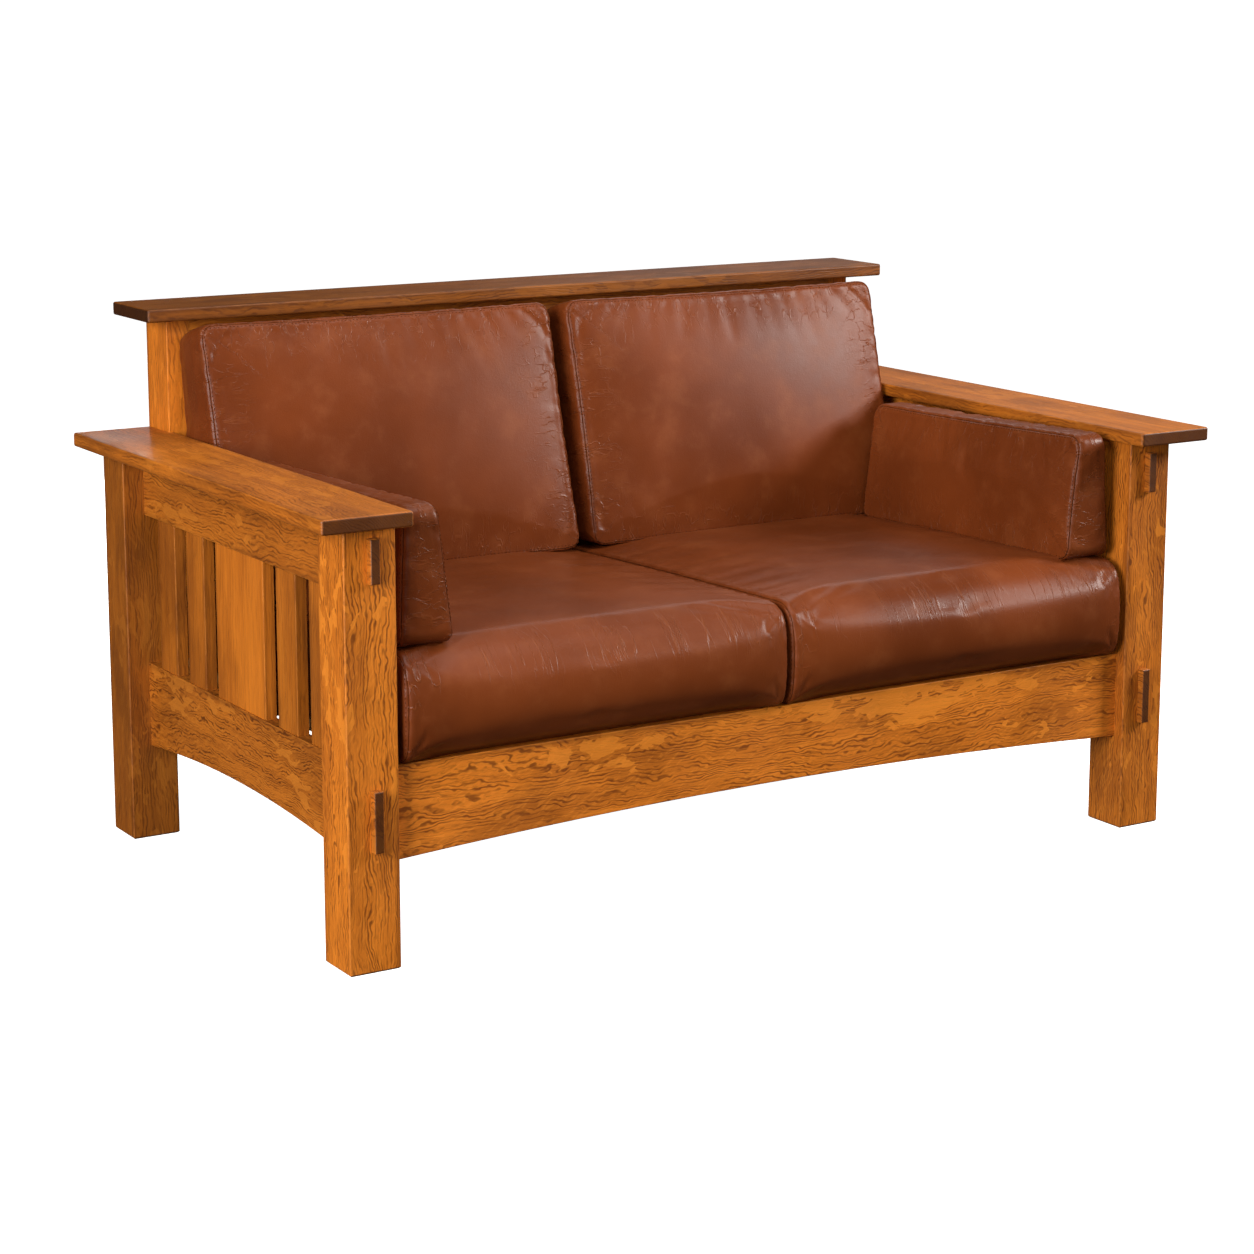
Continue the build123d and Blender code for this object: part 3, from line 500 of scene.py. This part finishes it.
class Cover:
    """A closed leather cover: a strip of rings with a sewn panel at each end."""

    def __init__(self, rings, across, up, crowns, outwards, power):
        self.rings = rings
        self.across = across
        self.up = up
        self.first = crowned_panel(rings[0], across, up, crowns[0], outwards[0], power)
        self.last = crowned_panel(rings[-1], across, up, crowns[1], outwards[1], power)

    def points(self):
        """All points, the rings first and then what lies inside each panel."""
        inner = [panel[1:-1, 1:-1].reshape(-1, 3) for panel in (self.first, self.last)]
        return np.vstack([self.rings.reshape(-1, 3)] + inner)

    def take(self, points):
        """Puts moved points back where points() took them from."""
        count = self.rings.shape[0] * self.rings.shape[1]
        self.rings = points[:count].reshape(self.rings.shape)
        inner = (self.across - 1) * (self.up - 1)
        for panel, ring, start in (
            (self.first, self.rings[0], count),
            (self.last, self.rings[-1], count + inner),
        ):
            panel[1:-1, 1:-1] = points[start:start + inner].reshape(self.across - 1, self.up - 1, 3)
            self.edge(panel, ring)

    def edge(self, panel, ring):
        """Lays a panel's rim on its ring."""
        across, up = self.across, self.up
        panel[:, 0] = ring[:across + 1]
        panel[-1, :] = ring[across:across + up + 1]
        panel[:, -1] = ring[across + up:2 * across + up + 1][::-1]
        panel[0, :] = np.vstack((ring[2 * across + up:], ring[:1]))[::-1]

    def panel_indices(self, ring_start, inner_start):
        """Point numbers of a panel's grid, its rim taken from the ring that it is sewn to."""
        across, up = self.across, self.up
        around = 2 * (across + up)
        inner = np.arange((across - 1) * (up - 1)).reshape(across - 1, up - 1)
        index = np.zeros((across + 1, up + 1), int)
        index[1:-1, 1:-1] = inner_start + inner
        index[:, 0] = ring_start + np.arange(across + 1)
        index[-1, :] = ring_start + across + np.arange(up + 1)
        index[:, -1] = ring_start + across + up + np.arange(across + 1)[::-1]
        index[0, :] = ring_start + (2 * across + up + np.arange(up + 1)[::-1]) % around
        return index

    def faces(self):
        """Quads of the strip and of both panels."""
        count, around = self.rings.shape[:2]
        strip = np.arange(count * around).reshape(count, around)
        onward = np.roll(strip, -1, axis=1)
        quads = [np.stack((strip[:-1], onward[:-1], onward[1:], strip[1:]), -1).reshape(-1, 4)]
        inner = (self.across - 1) * (self.up - 1)
        rows = ((0, count * around, -1), ((count - 1) * around, count * around + inner, 1))
        for ring_start, inner_start, turn in rows:
            grid = self.panel_indices(ring_start, inner_start)
            quad = np.stack((grid[:-1, :-1], grid[1:, :-1], grid[1:, 1:], grid[:-1, 1:]), -1)
            quads.append(quad.reshape(-1, 4)[:, ::turn])
        return np.vstack(quads)

    def finer(self):
        """The same cover with twice the points each way."""
        made = Cover.__new__(Cover)
        made.across = 2 * self.across
        made.up = 2 * self.up
        made.rings = doubled(doubled(self.rings, 0, False), 1, True)
        made.first = doubled(doubled(self.first, 0, False), 1, False)
        made.last = doubled(doubled(self.last, 0, False), 1, False)
        made.edge(made.first, made.rings[0])
        made.edge(made.last, made.rings[-1])
        return made


def doubled(grid, axis, closed):
    """Adds a point midway between each two along an axis, on a smooth curve through them."""
    grid = np.moveaxis(grid, axis, 0)
    if closed:
        before, first, second, after = (np.roll(grid, shift, 0) for shift in (1, 0, -1, -2))
    else:
        first, second = grid[:-1], grid[1:]
        before = np.vstack((2 * grid[:1] - grid[1:2], grid[:-2]))
        after = np.vstack((grid[2:], 2 * grid[-1:] - grid[-2:-1]))
    halfway = (9 * (first + second) - before - after) / 16
    count = len(grid) + len(halfway)
    out = np.empty((count,) + grid.shape[1:])
    out[0::2] = grid
    out[1::2] = halfway
    return np.moveaxis(out, 0, axis)


def mesh_object(name, points, faces):
    """A smooth-shaded mesh object made from points and quads, its faces turned outward."""
    first, second, third, fourth = (points[corner] for corner in faces.T)
    volume = np.einsum("ij,ij->", first, np.cross(second, third) + np.cross(third, fourth))
    if volume < 0:
        faces = faces[:, ::-1]
    mesh = bpy.data.meshes.new(name)
    mesh.from_pydata(points.tolist(), [], faces.tolist())
    mesh.polygons.foreach_set("use_smooth", np.ones(len(faces), bool))
    mesh.update()
    made = bpy.data.objects.new(name, mesh)
    bpy.context.scene.collection.objects.link(made)
    return made


def positions(mesh, domain="vertices", field="co"):
    """A mesh's point positions or normals as an array."""
    items = getattr(mesh, domain)
    values = np.empty(len(items) * 3)
    items.foreach_get(field, values)
    return values.reshape(-1, 3)


SIMULATED_STEPS = 20
NO_LENGTH = 1e-9


def inflate(cover, pressure, slack, reach):
    """Fills a cover by cloth simulation, its seams held, each move eased to stay within the reach."""
    start = cover.points()
    dummy = mesh_object("inflating", start, cover.faces())
    count, around = cover.rings.shape[:2]
    held = list(range(around)) + list(range((count - 1) * around, count * around))
    dummy.vertex_groups.new(name="seams").add(held, 1.0, "REPLACE")
    cloth = dummy.modifiers.new("cloth", "CLOTH")
    cloth.settings.quality = 5
    cloth.settings.mass = 0.35
    cloth.settings.tension_stiffness = 18
    cloth.settings.compression_stiffness = 18
    cloth.settings.shear_stiffness = 6
    cloth.settings.bending_stiffness = 1.2
    cloth.settings.use_pressure = True
    cloth.settings.uniform_pressure_force = pressure
    cloth.settings.shrink_min = -slack
    cloth.settings.vertex_group_mass = "seams"
    cloth.settings.effector_weights.gravity = 0
    cloth.collision_settings.use_collision = False
    scene = bpy.context.scene
    for step in range(1, SIMULATED_STEPS + 1):
        scene.frame_set(step)
    evaluated = dummy.evaluated_get(bpy.context.evaluated_depsgraph_get())
    moved = positions(evaluated.data) - start
    scene.frame_set(1)
    bpy.data.objects.remove(dummy)
    length = np.maximum(np.linalg.norm(moved, axis=1, keepdims=True), NO_LENGTH)
    cover.take(start + moved * reach * np.tanh(length / reach) / length)


def seam_places(points, ring):
    """Each point's nearest place along a seam ring, and its distance from it."""
    tree = KDTree(len(ring))
    for index, place in enumerate(ring):
        tree.insert(place, index)
    tree.balance()
    found = [tree.find(point)[1:] for point in points]
    steps = np.linalg.norm(np.diff(np.vstack((ring, ring[:1])), axis=0), axis=1)
    along = np.concatenate(([0], np.cumsum(steps)[:-1]))
    nearest = np.array([row[0] for row in found])
    return along[nearest], np.array([row[1] for row in found]), steps.sum()


CREASE_SLANT = 0.35
CREASE_WIDTHS = (0.0035, 0.0075)
CREASE_FADE = 1.5
CREASE_LENGTH_SHARES = (0.4, 1.3)
CREASE_DEPTH_SHARES = (0.3, 1.0)
CREASE_STEP_SHARES = (0.45, 1.6)


def pucker(along, away, total, random, spacing, depth, reach):
    """Inward displacement of the short creases that a seam draws in the leather beside it."""
    drawn = np.zeros(len(along))
    place = random.uniform(0, spacing)
    while place < total:
        slant = random.normal(0, CREASE_SLANT)
        width = random.uniform(*CREASE_WIDTHS)
        length = reach * random.uniform(*CREASE_LENGTH_SHARES)
        strength = depth * random.uniform(*CREASE_DEPTH_SHARES)
        offset = (along - place - slant * away + total / 2) % total - total / 2
        fade = np.clip(1 - away / length, 0, 1) ** CREASE_FADE
        drawn += strength * fade * np.exp(-(offset / width) ** 2)
        place += spacing * random.uniform(*CREASE_STEP_SHARES)
    return drawn


# The groove at a seam, and the roll of leather that rises beside it
SEAM_DEPTH = 0.0022
SEAM_WIDTH = 0.0026
ROLL_HEIGHT = 0.0012
ROLL_DISTANCE = 0.008
ROLL_WIDTH = 0.006


def sew(cover, random, spacing, depth, reach):
    """Sinks both seams into the cover, rolls the leather up beside them and puckers it."""
    dummy = mesh_object("sewing", cover.points(), cover.faces())
    normals = positions(dummy.data, "vertex_normals", "vector")
    bpy.data.objects.remove(dummy)
    points = cover.points()
    inward = np.zeros(len(points))
    nearest = np.full(len(points), 1.0)
    for ring in (cover.rings[0], cover.rings[-1]):
        along, away, total = seam_places(points, ring)
        inward += SEAM_DEPTH * np.exp(-(away / SEAM_WIDTH) ** 2)
        inward -= ROLL_HEIGHT * np.exp(-((away - ROLL_DISTANCE) / ROLL_WIDTH) ** 2)
        inward += pucker(along, away, total, random, spacing, depth, reach)
        nearest = np.minimum(nearest, away)
    cover.take(points - normals * inward[:, None])
    return nearest


def seam_line(panel, cells):
    """Points of a closed line that runs beside a panel's seam, a number of cells inside it."""
    cut = panel[cells:-cells, cells:-cells]
    return np.vstack((cut[:-1, 0], cut[-1, :-1], cut[1:, -1][::-1], cut[0, 1:][::-1]))


CORD_SIDES = 6


def tube(path, radius):
    """Points and quads of a closed tube along a closed path."""
    onward = np.roll(path, -1, 0) - np.roll(path, 1, 0)
    onward /= np.linalg.norm(onward, axis=1, keepdims=True)
    centre = path.mean(0)
    level = path - centre
    level -= onward * np.einsum("ij,ij->i", level, onward)[:, None]
    level /= np.linalg.norm(level, axis=1, keepdims=True)
    upright = np.cross(onward, level)
    turns = np.linspace(0, 2 * math.pi, CORD_SIDES, endpoint=False)
    lines = [path + radius * (math.cos(turn) * level + math.sin(turn) * upright) for turn in turns]
    points = np.stack(lines, 1).reshape(-1, 3)
    index = np.arange(len(points)).reshape(len(path), CORD_SIDES)
    beside = np.roll(index, -1, 1)
    ahead = np.roll(index, -1, 0)
    across = np.roll(beside, -1, 0)
    return points, np.stack((index, beside, across, ahead), -1).reshape(-1, 4)


def resampled(path, spacing):
    """A closed path's points set out evenly, about the spacing apart."""
    closed = np.vstack((path, path[:1]))
    lengths = np.concatenate(([0], np.cumsum(np.linalg.norm(np.diff(closed, axis=0), axis=1))))
    count = max(8, int(round(lengths[-1] / spacing)))
    wanted = np.linspace(0, lengths[-1], count, endpoint=False)
    return np.column_stack([np.interp(wanted, lengths, column) for column in closed.T])


STITCH_PITCH = 0.0065
STITCH_RADIUS = 0.00055
STITCH_SIDES = 5
# Thickness at a stitch's start, middle and end, as shares of its radius
STITCH_SHARES = (0.35, 1.0, 0.35)
# Steps of the path from one stitch to the next, of which each stitch spans two
STITCH_STEPS = 4
# A direction that no seam follows
ASKEW = (0.3, 0.5, 0.8)


def stitches(path):
    """Points and quads of a row of short stitches along a closed path."""
    fine = resampled(path, STITCH_PITCH / STITCH_STEPS)
    turns = np.linspace(0, 2 * math.pi, STITCH_SIDES, endpoint=False)
    points, faces = [], []
    for start in range(0, len(fine) // STITCH_STEPS * STITCH_STEPS, STITCH_STEPS):
        first, middle, last = fine[start:start + 3]
        onward = unit(last - first)
        level = unit(np.cross(onward, ASKEW))
        upright = np.cross(onward, level)
        base = len(points)
        for place, share in zip((first, middle, last), STITCH_SHARES):
            for turn in turns:
                spoke = math.cos(turn) * level + math.sin(turn) * upright
                points.append(place + STITCH_RADIUS * share * spoke)
        for row in (base, base + STITCH_SIDES):
            for side in range(STITCH_SIDES):
                corner = row + side
                beside = row + (side + 1) % STITCH_SIDES
                faces.append((corner, beside, beside + STITCH_SIDES, corner + STITCH_SIDES))
    return np.array(points), np.array(faces)


def joined(name, parts):
    """One object from several sets of points and quads."""
    points, faces, start = [], [], 0
    for some_points, some_faces in parts:
        points.append(some_points)
        faces.append(some_faces + start)
        start += len(some_points)
    return mesh_object(name, np.vstack(points), np.vstack(faces))


def store(made, name, kind, values):
    """Keeps a value for every point of a mesh, for its material to read."""
    attribute = made.data.attributes.new(name, kind, "POINT")
    field = "value" if kind == "FLOAT" else "vector"
    attribute.data.foreach_set(field, np.asarray(values, np.float32).ravel())


# Cushions

SEEDS = {
    "seat_cushion_left": 11,
    "seat_cushion_right": 12,
    "back_cushion_left": 21,
    "back_cushion_right": 22,
    "arm_pillow_left": 31,
    "arm_pillow_right": 32,
}
# How strongly the points across a panel are drawn together near its corners
ACROSS_PULL = 0.55
# Space that a cover keeps to the sides of its solid's box
BOX_GAP = 0.0002
CORD_RADIUS = 0.0007
CORD_SPACING = 0.004
# Cells between a seam and the stitches in the panel beside it
STITCH_CELLS = 3

# Cells across and up an end panel, and from one end to the other
SEAT_CELLS = (96, 26, 78)
SEAT_UP_PULL = 0.3
SEAT_ROW_PULL = 0.6
SEAT_BACK_RADIUS = 0.016
# Radii of the lower and the upper front edge, each at the ends and at the middle
SEAT_FRONT_RADII = ((0.024, 0.042), (0.036, 0.060))
SEAT_FRONT_BOW = 0.003
SEAT_TOP_BOW = 0.007
SEAT_END_DROP = 0.006
SEAT_END_DRAW = 0.008
SEAT_POWER = 9
SEAT_END_POWER = 3
SEAT_OUTER_CROWN = 0.018
SEAT_INNER_CROWN = 0.003
SEAT_MARGIN = 0.0015
SEAT_BACK_DROP = 0.026
SEAT_FRONT_RAISE = 0.0015
# Share of the top's bow that is left at the sewn ends
SEAT_END_BOW_SHARE = 0.25
# Pressure, slack share and greatest move of the cloth simulation
SEAT_FILLING = (0.9, 0.002, 0.005)
# Spacing, depth and reach of the creases at the seams
SEAT_CREASES = (0.017, 0.0011, 0.020)
SEAT_CREASED_REACH = 0.035
SEAT_CREASED_SHARE = 0.55
# Where the top turns down to the front, from the box's top and front, and how far it is creased there
TURN_DROP = 0.030
TURN_DEPTH = 0.045
TURN_REACH = (0.060, 0.030)


def seat_cover(name):
    """Seat cushion cover: one panel wraps round from front to back between two sewn ends."""
    low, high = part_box(name)
    across, up, rows = SEAT_CELLS
    shares = (graded(across, ACROSS_PULL), graded(up, SEAT_UP_PULL))
    front = low.y + SEAT_FRONT_BOW + SEAT_MARGIN
    back = high.y - SEAT_MARGIN
    rings = []
    for share in graded(rows, SEAT_ROW_PULL):
        full = fullness(share, SEAT_POWER)
        slack = 1 - full
        top = high.z + SEAT_FRONT_RAISE - SEAT_END_DROP * slack
        nose = front + SEAT_END_DRAW * slack
        tail = back - SEAT_END_DRAW * slack
        corners = ((nose, low.z), (tail, low.z), (tail, top - SEAT_BACK_DROP), (nose, top))
        top_bow = SEAT_TOP_BOW * (SEAT_END_BOW_SHARE + (1 - SEAT_END_BOW_SHARE) * full)
        bows = (0, 0, top_bow, SEAT_FRONT_BOW)
        under, over = (end + (middle - end) * full for end, middle in SEAT_FRONT_RADII)
        radii = (under, SEAT_BACK_RADIUS, SEAT_BACK_RADIUS, over)
        outline = rounded_outline(corners, radii, bows, shares)
        x = low.x + (high.x - low.x) * share
        rings.append(np.column_stack((np.full(len(outline), x), outline)))
    outwards = (np.array((-1.0, 0, 0)), np.array((1.0, 0, 0)))
    crowns = (SEAT_OUTER_CROWN, SEAT_INNER_CROWN)
    if name.endswith("right"):
        crowns = crowns[::-1]
    return Cover(np.array(rings), across, up, crowns, outwards, SEAT_END_POWER)


def build_seat_cushion(side, leather, thread):
    """One seat cushion with its seams and the topstitching beside them."""
    name = "seat_cushion_" + side
    random = np.random.default_rng(SEEDS[name])
    cover = seat_cover(name)
    low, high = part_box(name)
    inflate(cover, *SEAT_FILLING)
    cover = cover.finer()
    nearest = sew(cover, random, *SEAT_CREASES)
    points = cover.points()
    points[:, 2] = np.maximum(points[:, 2], low.z + BOX_GAP)
    cover.take(points)
    made = mesh_object(name + "_cover", points, cover.faces())
    made.data.materials.append(leather)
    turn = np.exp(-((points[:, 2] - high.z + TURN_DROP) / TURN_REACH[1]) ** 2)
    turn *= np.exp(-((points[:, 1] - low.y - TURN_DEPTH) / TURN_REACH[0]) ** 2)
    by_seam = SEAT_CREASED_SHARE * np.exp(-(nearest / SEAT_CREASED_REACH) ** 2)
    store(made, "creased", "FLOAT", np.clip(turn + by_seam, 0, 1))
    wrap = points[:, 1] - points[:, 2]
    store(made, "cover", "FLOAT_VECTOR", np.column_stack((points[:, 0], wrap, 0 * wrap)))
    finish_cushion(made, name, cover, thread)


def finish_cushion(made, name, cover, thread):
    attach(made, name)
    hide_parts(name)
    cords = [tube(resampled(cover.rings[end], CORD_SPACING), CORD_RADIUS) for end in (0, -1)]
    welt = joined(name + "_seams", cords)
    rows = [stitches(seam_line(panel, STITCH_CELLS)) for panel in (cover.first, cover.last)]
    sewn = joined(name + "_stitches", rows)
    for piece in (welt, sewn):
        piece.data.materials.append(thread)
        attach(piece, name)


BOX_UP_PULL = 0.5
BOX_ROW_PULL = 0.3
BOX_CREASED_SHARE = 0.8
BOX_CREASED_REACH = 0.05


def boxed_cover(ends, heights, depth_at, place, sizes):
    """Boxed cushion cover: a strip of boxing between a front and a back panel."""
    across, up, rows = sizes["cells"]
    shares = (graded(across, ACROSS_PULL), graded(up, BOX_UP_PULL))
    rings = []
    for share in graded(rows, BOX_ROW_PULL):
        bulge = 4 * share * (1 - share)
        held = 1 - bulge
        foot = sizes["foot_draw"] * held
        head = sizes["head_draw"] * held
        floor = heights[0] - sizes["foot_fall"] * share
        roof = heights[1] - sizes["head_fall"] * share - sizes["rim_draw"] * held
        corners = (
            (ends[0] + foot, floor),
            (ends[1] - foot, floor),
            (ends[1] - head, roof),
            (ends[0] + head, roof),
        )
        pull = -sizes["side_pull"] * held
        outline = rounded_outline(corners, sizes["radii"], (0, pull, pull, pull), shares)
        level = (outline[:, 1] - heights[0]) / (heights[1] - heights[0])
        depth = depth_at(level, share)
        rings.append(place(outline[:, 0], depth, outline[:, 1]))
    sideways = rings[0][across + up // 2] - rings[0][-up // 2]
    front = unit(np.cross(sideways, rings[0][0] - rings[0][-up]))
    inside = rings[-1].mean(0) - rings[0].mean(0)
    if front @ inside > 0:
        front = -front
    back = unit(inside)
    crowns = (sizes["front_crown"], sizes["back_crown"])
    return Cover(np.array(rings), across, up, crowns, (front, back), sizes["power"])


# Sizes of a boxed cover: how far its sides are drawn in at the seams, how far its foot and head fall
# from the front to the back, and how far its two panels swell
BACK_SIZES = {
    "cells": (78, 50, 18),
    "radii": (0.014, 0.014, 0.018, 0.018),
    "foot_draw": 0.002,
    "head_draw": 0.006,
    "rim_draw": 0.003,
    "foot_fall": 0.007,
    "head_fall": 0.0235,
    "side_pull": 0.003,
    "front_crown": 0.021,
    "back_crown": 0.002,
    "power": 2.2,
}
BACK_HEAD_DEPTH = 0.088
BACK_FOOT_DEPTH = 0.138
BACK_LEAN = math.radians(15)
BACK_FILLING = (1.0, 0.0018, 0.003)
BACK_CREASES = (0.019, 0.0017, 0.028)

PILLOW_SIZES = {
    "cells": (72, 28, 14),
    "radii": (0.014, 0.014, 0.020, 0.020),
    "foot_draw": 0.002,
    "foot_fall": 0.0,
    "head_fall": 0.0,
    "head_draw": 0.004,
    "rim_draw": 0.002,
    "side_pull": 0.002,
    "front_crown": 0.009,
    "back_crown": 0.001,
    "power": 3.0,
}
PILLOW_FOOT_WIDTH = 0.083
PILLOW_HEAD_WIDTH = 0.051
PILLOW_LEAN = 0.009
PILLOW_SLOPE = 0.028
PILLOW_FOOT_FALL = 0.003
PILLOW_GROWTH = 0.011
# How far a pillow's cover may stand past its solid, up and down
SOFT_REACH = 0.013
PILLOW_FILLING = (1.2, 0.003, 0.003)
PILLOW_CREASES = (0.017, 0.0010, 0.020)


def build_back_cushion(side, leather, thread):
    """One back cushion, leaning on the back frame."""
    name = "back_cushion_" + side
    low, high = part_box(name)
    random = np.random.default_rng(SEEDS[name])
    head_back = high.y
    head_front = head_back - BACK_HEAD_DEPTH
    foot_front = head_front - (high.z - low.z - SEAT_BACK_DROP) * math.tan(BACK_LEAN)
    foot_back = foot_front + BACK_FOOT_DEPTH

    def depth_at(level, share):
        front = foot_front + (head_front - foot_front) * level
        back = foot_back + (head_back - foot_back) * level
        return front + (back - front) * share

    def place(along, depth, height):
        return np.column_stack((along, depth, height))

    foot_z = low.z + BACK_SIZES["foot_fall"]
    cover = boxed_cover((low.x, high.x), (foot_z, high.z), depth_at, place, BACK_SIZES)
    inflate(cover, *BACK_FILLING)
    dress_boxed(cover, name, random, BACK_CREASES, leather, thread)


def build_arm_pillow(side, leather, thread):
    """One small cushion inside an arm, wider at its foot than at its head."""
    name = "arm_pillow_" + side
    low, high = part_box(name)
    random = np.random.default_rng(SEEDS[name])
    sign = -1 if side == "left" else 1
    outer_foot = max(abs(low.x), abs(high.x))
    outer_head = outer_foot - PILLOW_LEAN

    def depth_at(level, share):
        outer = outer_foot + (outer_head - outer_foot) * level
        width = PILLOW_FOOT_WIDTH + (PILLOW_HEAD_WIDTH - PILLOW_FOOT_WIDTH) * level
        return outer - width * (1 - share)

    middle = (low.y + high.y) / 2
    fall = PILLOW_SLOPE * (high.y - low.y) / 2
    heights = (low.z + fall - PILLOW_FOOT_FALL, high.z - fall + PILLOW_GROWTH)

    def place(along, depth, height):
        return np.column_stack((sign * depth, along, height - PILLOW_SLOPE * (along - middle)))

    cover = boxed_cover((low.y, high.y), heights, depth_at, place, PILLOW_SIZES)
    inflate(cover, *PILLOW_FILLING)
    dress_boxed(cover, name, random, PILLOW_CREASES, leather, thread)


def dress_boxed(cover, name, random, creases, leather, thread):
    """Sews a boxed cover, keeps it in its space and makes it a piece."""
    low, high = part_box(name)
    cover = cover.finer()
    nearest = sew(cover, random, *creases)
    points = cover.points()
    free = np.array((0, 0, SOFT_REACH if name.startswith("arm") else 0))
    points = np.clip(points, np.array(low) + BOX_GAP - free, np.array(high) - BOX_GAP + free)
    cover.take(points)
    made = mesh_object(name + "_cover", points, cover.faces())
    made.data.materials.append(leather)
    store(made, "creased", "FLOAT", BOX_CREASED_SHARE * np.exp(-(nearest / BOX_CREASED_REACH) ** 2))
    along, away, _ = seam_places(points, cover.rings[0])
    store(made, "cover", "FLOAT_VECTOR", np.column_stack((along, away, 0 * away)))
    finish_cushion(made, name, cover, thread)


def build_cushions():
    """All six loose cushions."""
    leather = leather_material()
    thread = thread_material()
    for side in ("left", "right"):
        build_seat_cushion(side, leather, thread)
        build_back_cushion(side, leather, thread)
        build_arm_pillow(side, leather, thread)


# Camera, floor and light

CAMERA_PLACE = (-2.4016, -3.8648, 1.3406)
CAMERA_LENS = 84.945
CAMERA_SENSOR = 36
CAMERA_SHIFT = -0.0797
CAMERA_DOWN = 10.655
CAMERA_TURN = -31.591


def add_camera():
    """The photograph's view."""
    data = bpy.data.cameras.new("camera")
    data.lens = CAMERA_LENS
    data.sensor_width = CAMERA_SENSOR
    data.shift_y = CAMERA_SHIFT
    camera = bpy.data.objects.new("camera", data)
    camera.location = CAMERA_PLACE
    camera.rotation_euler = (math.radians(90 - CAMERA_DOWN), 0, math.radians(CAMERA_TURN))
    bpy.context.scene.collection.objects.link(camera)
    bpy.context.scene.camera = camera


FLOOR_REACH = 14.0
FLOOR_SWEEP = 4.0
WALL_HEIGHT = 12.0
FLOOR_MIDDLE = 0.001
FLOOR_SIDES = 96
SWEEP_STEPS = 24


def add_floor():
    """A pale floor that sweeps up into a wall far away on every side."""
    profile = [(FLOOR_MIDDLE, 0.0)]
    for step in range(SWEEP_STEPS + 1):
        angle = math.pi / 2 * step / SWEEP_STEPS
        out = FLOOR_REACH - FLOOR_SWEEP + FLOOR_SWEEP * math.sin(angle)
        profile.append((out, FLOOR_SWEEP - FLOOR_SWEEP * math.cos(angle)))
    profile.append((FLOOR_REACH, WALL_HEIGHT))
    turns = np.linspace(0, 2 * math.pi, FLOOR_SIDES, endpoint=False)
    rings = [
        np.column_stack((out * np.cos(turns), out * np.sin(turns), np.full(FLOOR_SIDES, height)))
        for out, height in profile
    ]
    index = np.arange(FLOOR_SIDES * len(profile)).reshape(len(profile), FLOOR_SIDES)
    beside = np.roll(index, -1, 1)
    faces = np.stack((index[:-1], beside[:-1], beside[1:], index[1:]), -1).reshape(-1, 4)
    floor = mesh_object("floor", np.vstack(rings), faces)
    material, tree, shader = new_material("pale_floor")
    shader.inputs["Base Color"].default_value = (0.86, 0.86, 0.86, 1)
    shader.inputs["Roughness"].default_value = 0.8
    shader.inputs["Specular IOR Level"].default_value = 0.1
    shader.inputs["Emission Color"].default_value = (1, 1, 1, 1)
    shader.inputs["Emission Strength"].default_value = 1.0
    floor.data.materials.append(material)
    floor.visible_glossy = False
    floor.visible_diffuse = False
    floor.visible_shadow = False


def add_area_light(name, place, target, size, power, colour=(1, 1, 1)):
    """A soft box that points at a target."""
    data = bpy.data.lights.new(name, "AREA")
    data.shape = "RECTANGLE"
    data.size, data.size_y = size
    data.energy = power
    data.color = colour
    lamp = bpy.data.objects.new(name, data)
    lamp.location = place
    aim = np.array(target, float) - np.array(place, float)
    lamp.rotation_euler = (
        math.atan2(math.hypot(aim[0], aim[1]), -aim[2]),
        0,
        math.atan2(aim[1], aim[0]) - math.pi / 2,
    )
    bpy.context.scene.collection.objects.link(lamp)


def add_lights():
    """Soft studio light: a key at the right, a large fill at the left, and faint ones round the settle."""
    add_area_light("key_light", (3.04, -1.64, 2.09), (0.3, 0.1, 0.6), (1.0, 1.0), 128, (1, 0.98, 0.95))
    add_area_light("left_light", (-3.6, -1.6, 1.4), (-0.7, -0.1, 0.4), (1.8, 2.0), 166, (1, 0.98, 0.96))
    add_area_light("front_light", (-1.8, -4.4, 1.5), (0, 0, 0.4), (2.4, 1.8), 28)
    add_area_light("top_light", (0, -0.8, 3.6), (0, 0, 0.3), (3.0, 2.0), 68)
    add_area_light("rear_light", (1.9, 2.0, 2.5), (0.1, -0.2, 0.45), (1.6, 1.2), 11)
    add_area_light("back_light", (0.2, 3.6, 0.5), (0.0, 0.4, 0.4), (1.2, 0.7), 48)
    world = bpy.data.worlds.new("world")
    world.use_nodes = True
    world.node_tree.nodes["Background"].inputs["Color"].default_value = (1, 1, 1, 1)
    world.node_tree.nodes["Background"].inputs["Strength"].default_value = 0.04
    bpy.context.scene.world = world


bpy.context.scene.view_settings.view_transform = "Standard"
add_camera()
add_floor()
add_lights()
paint_nodes()
build_cushions()
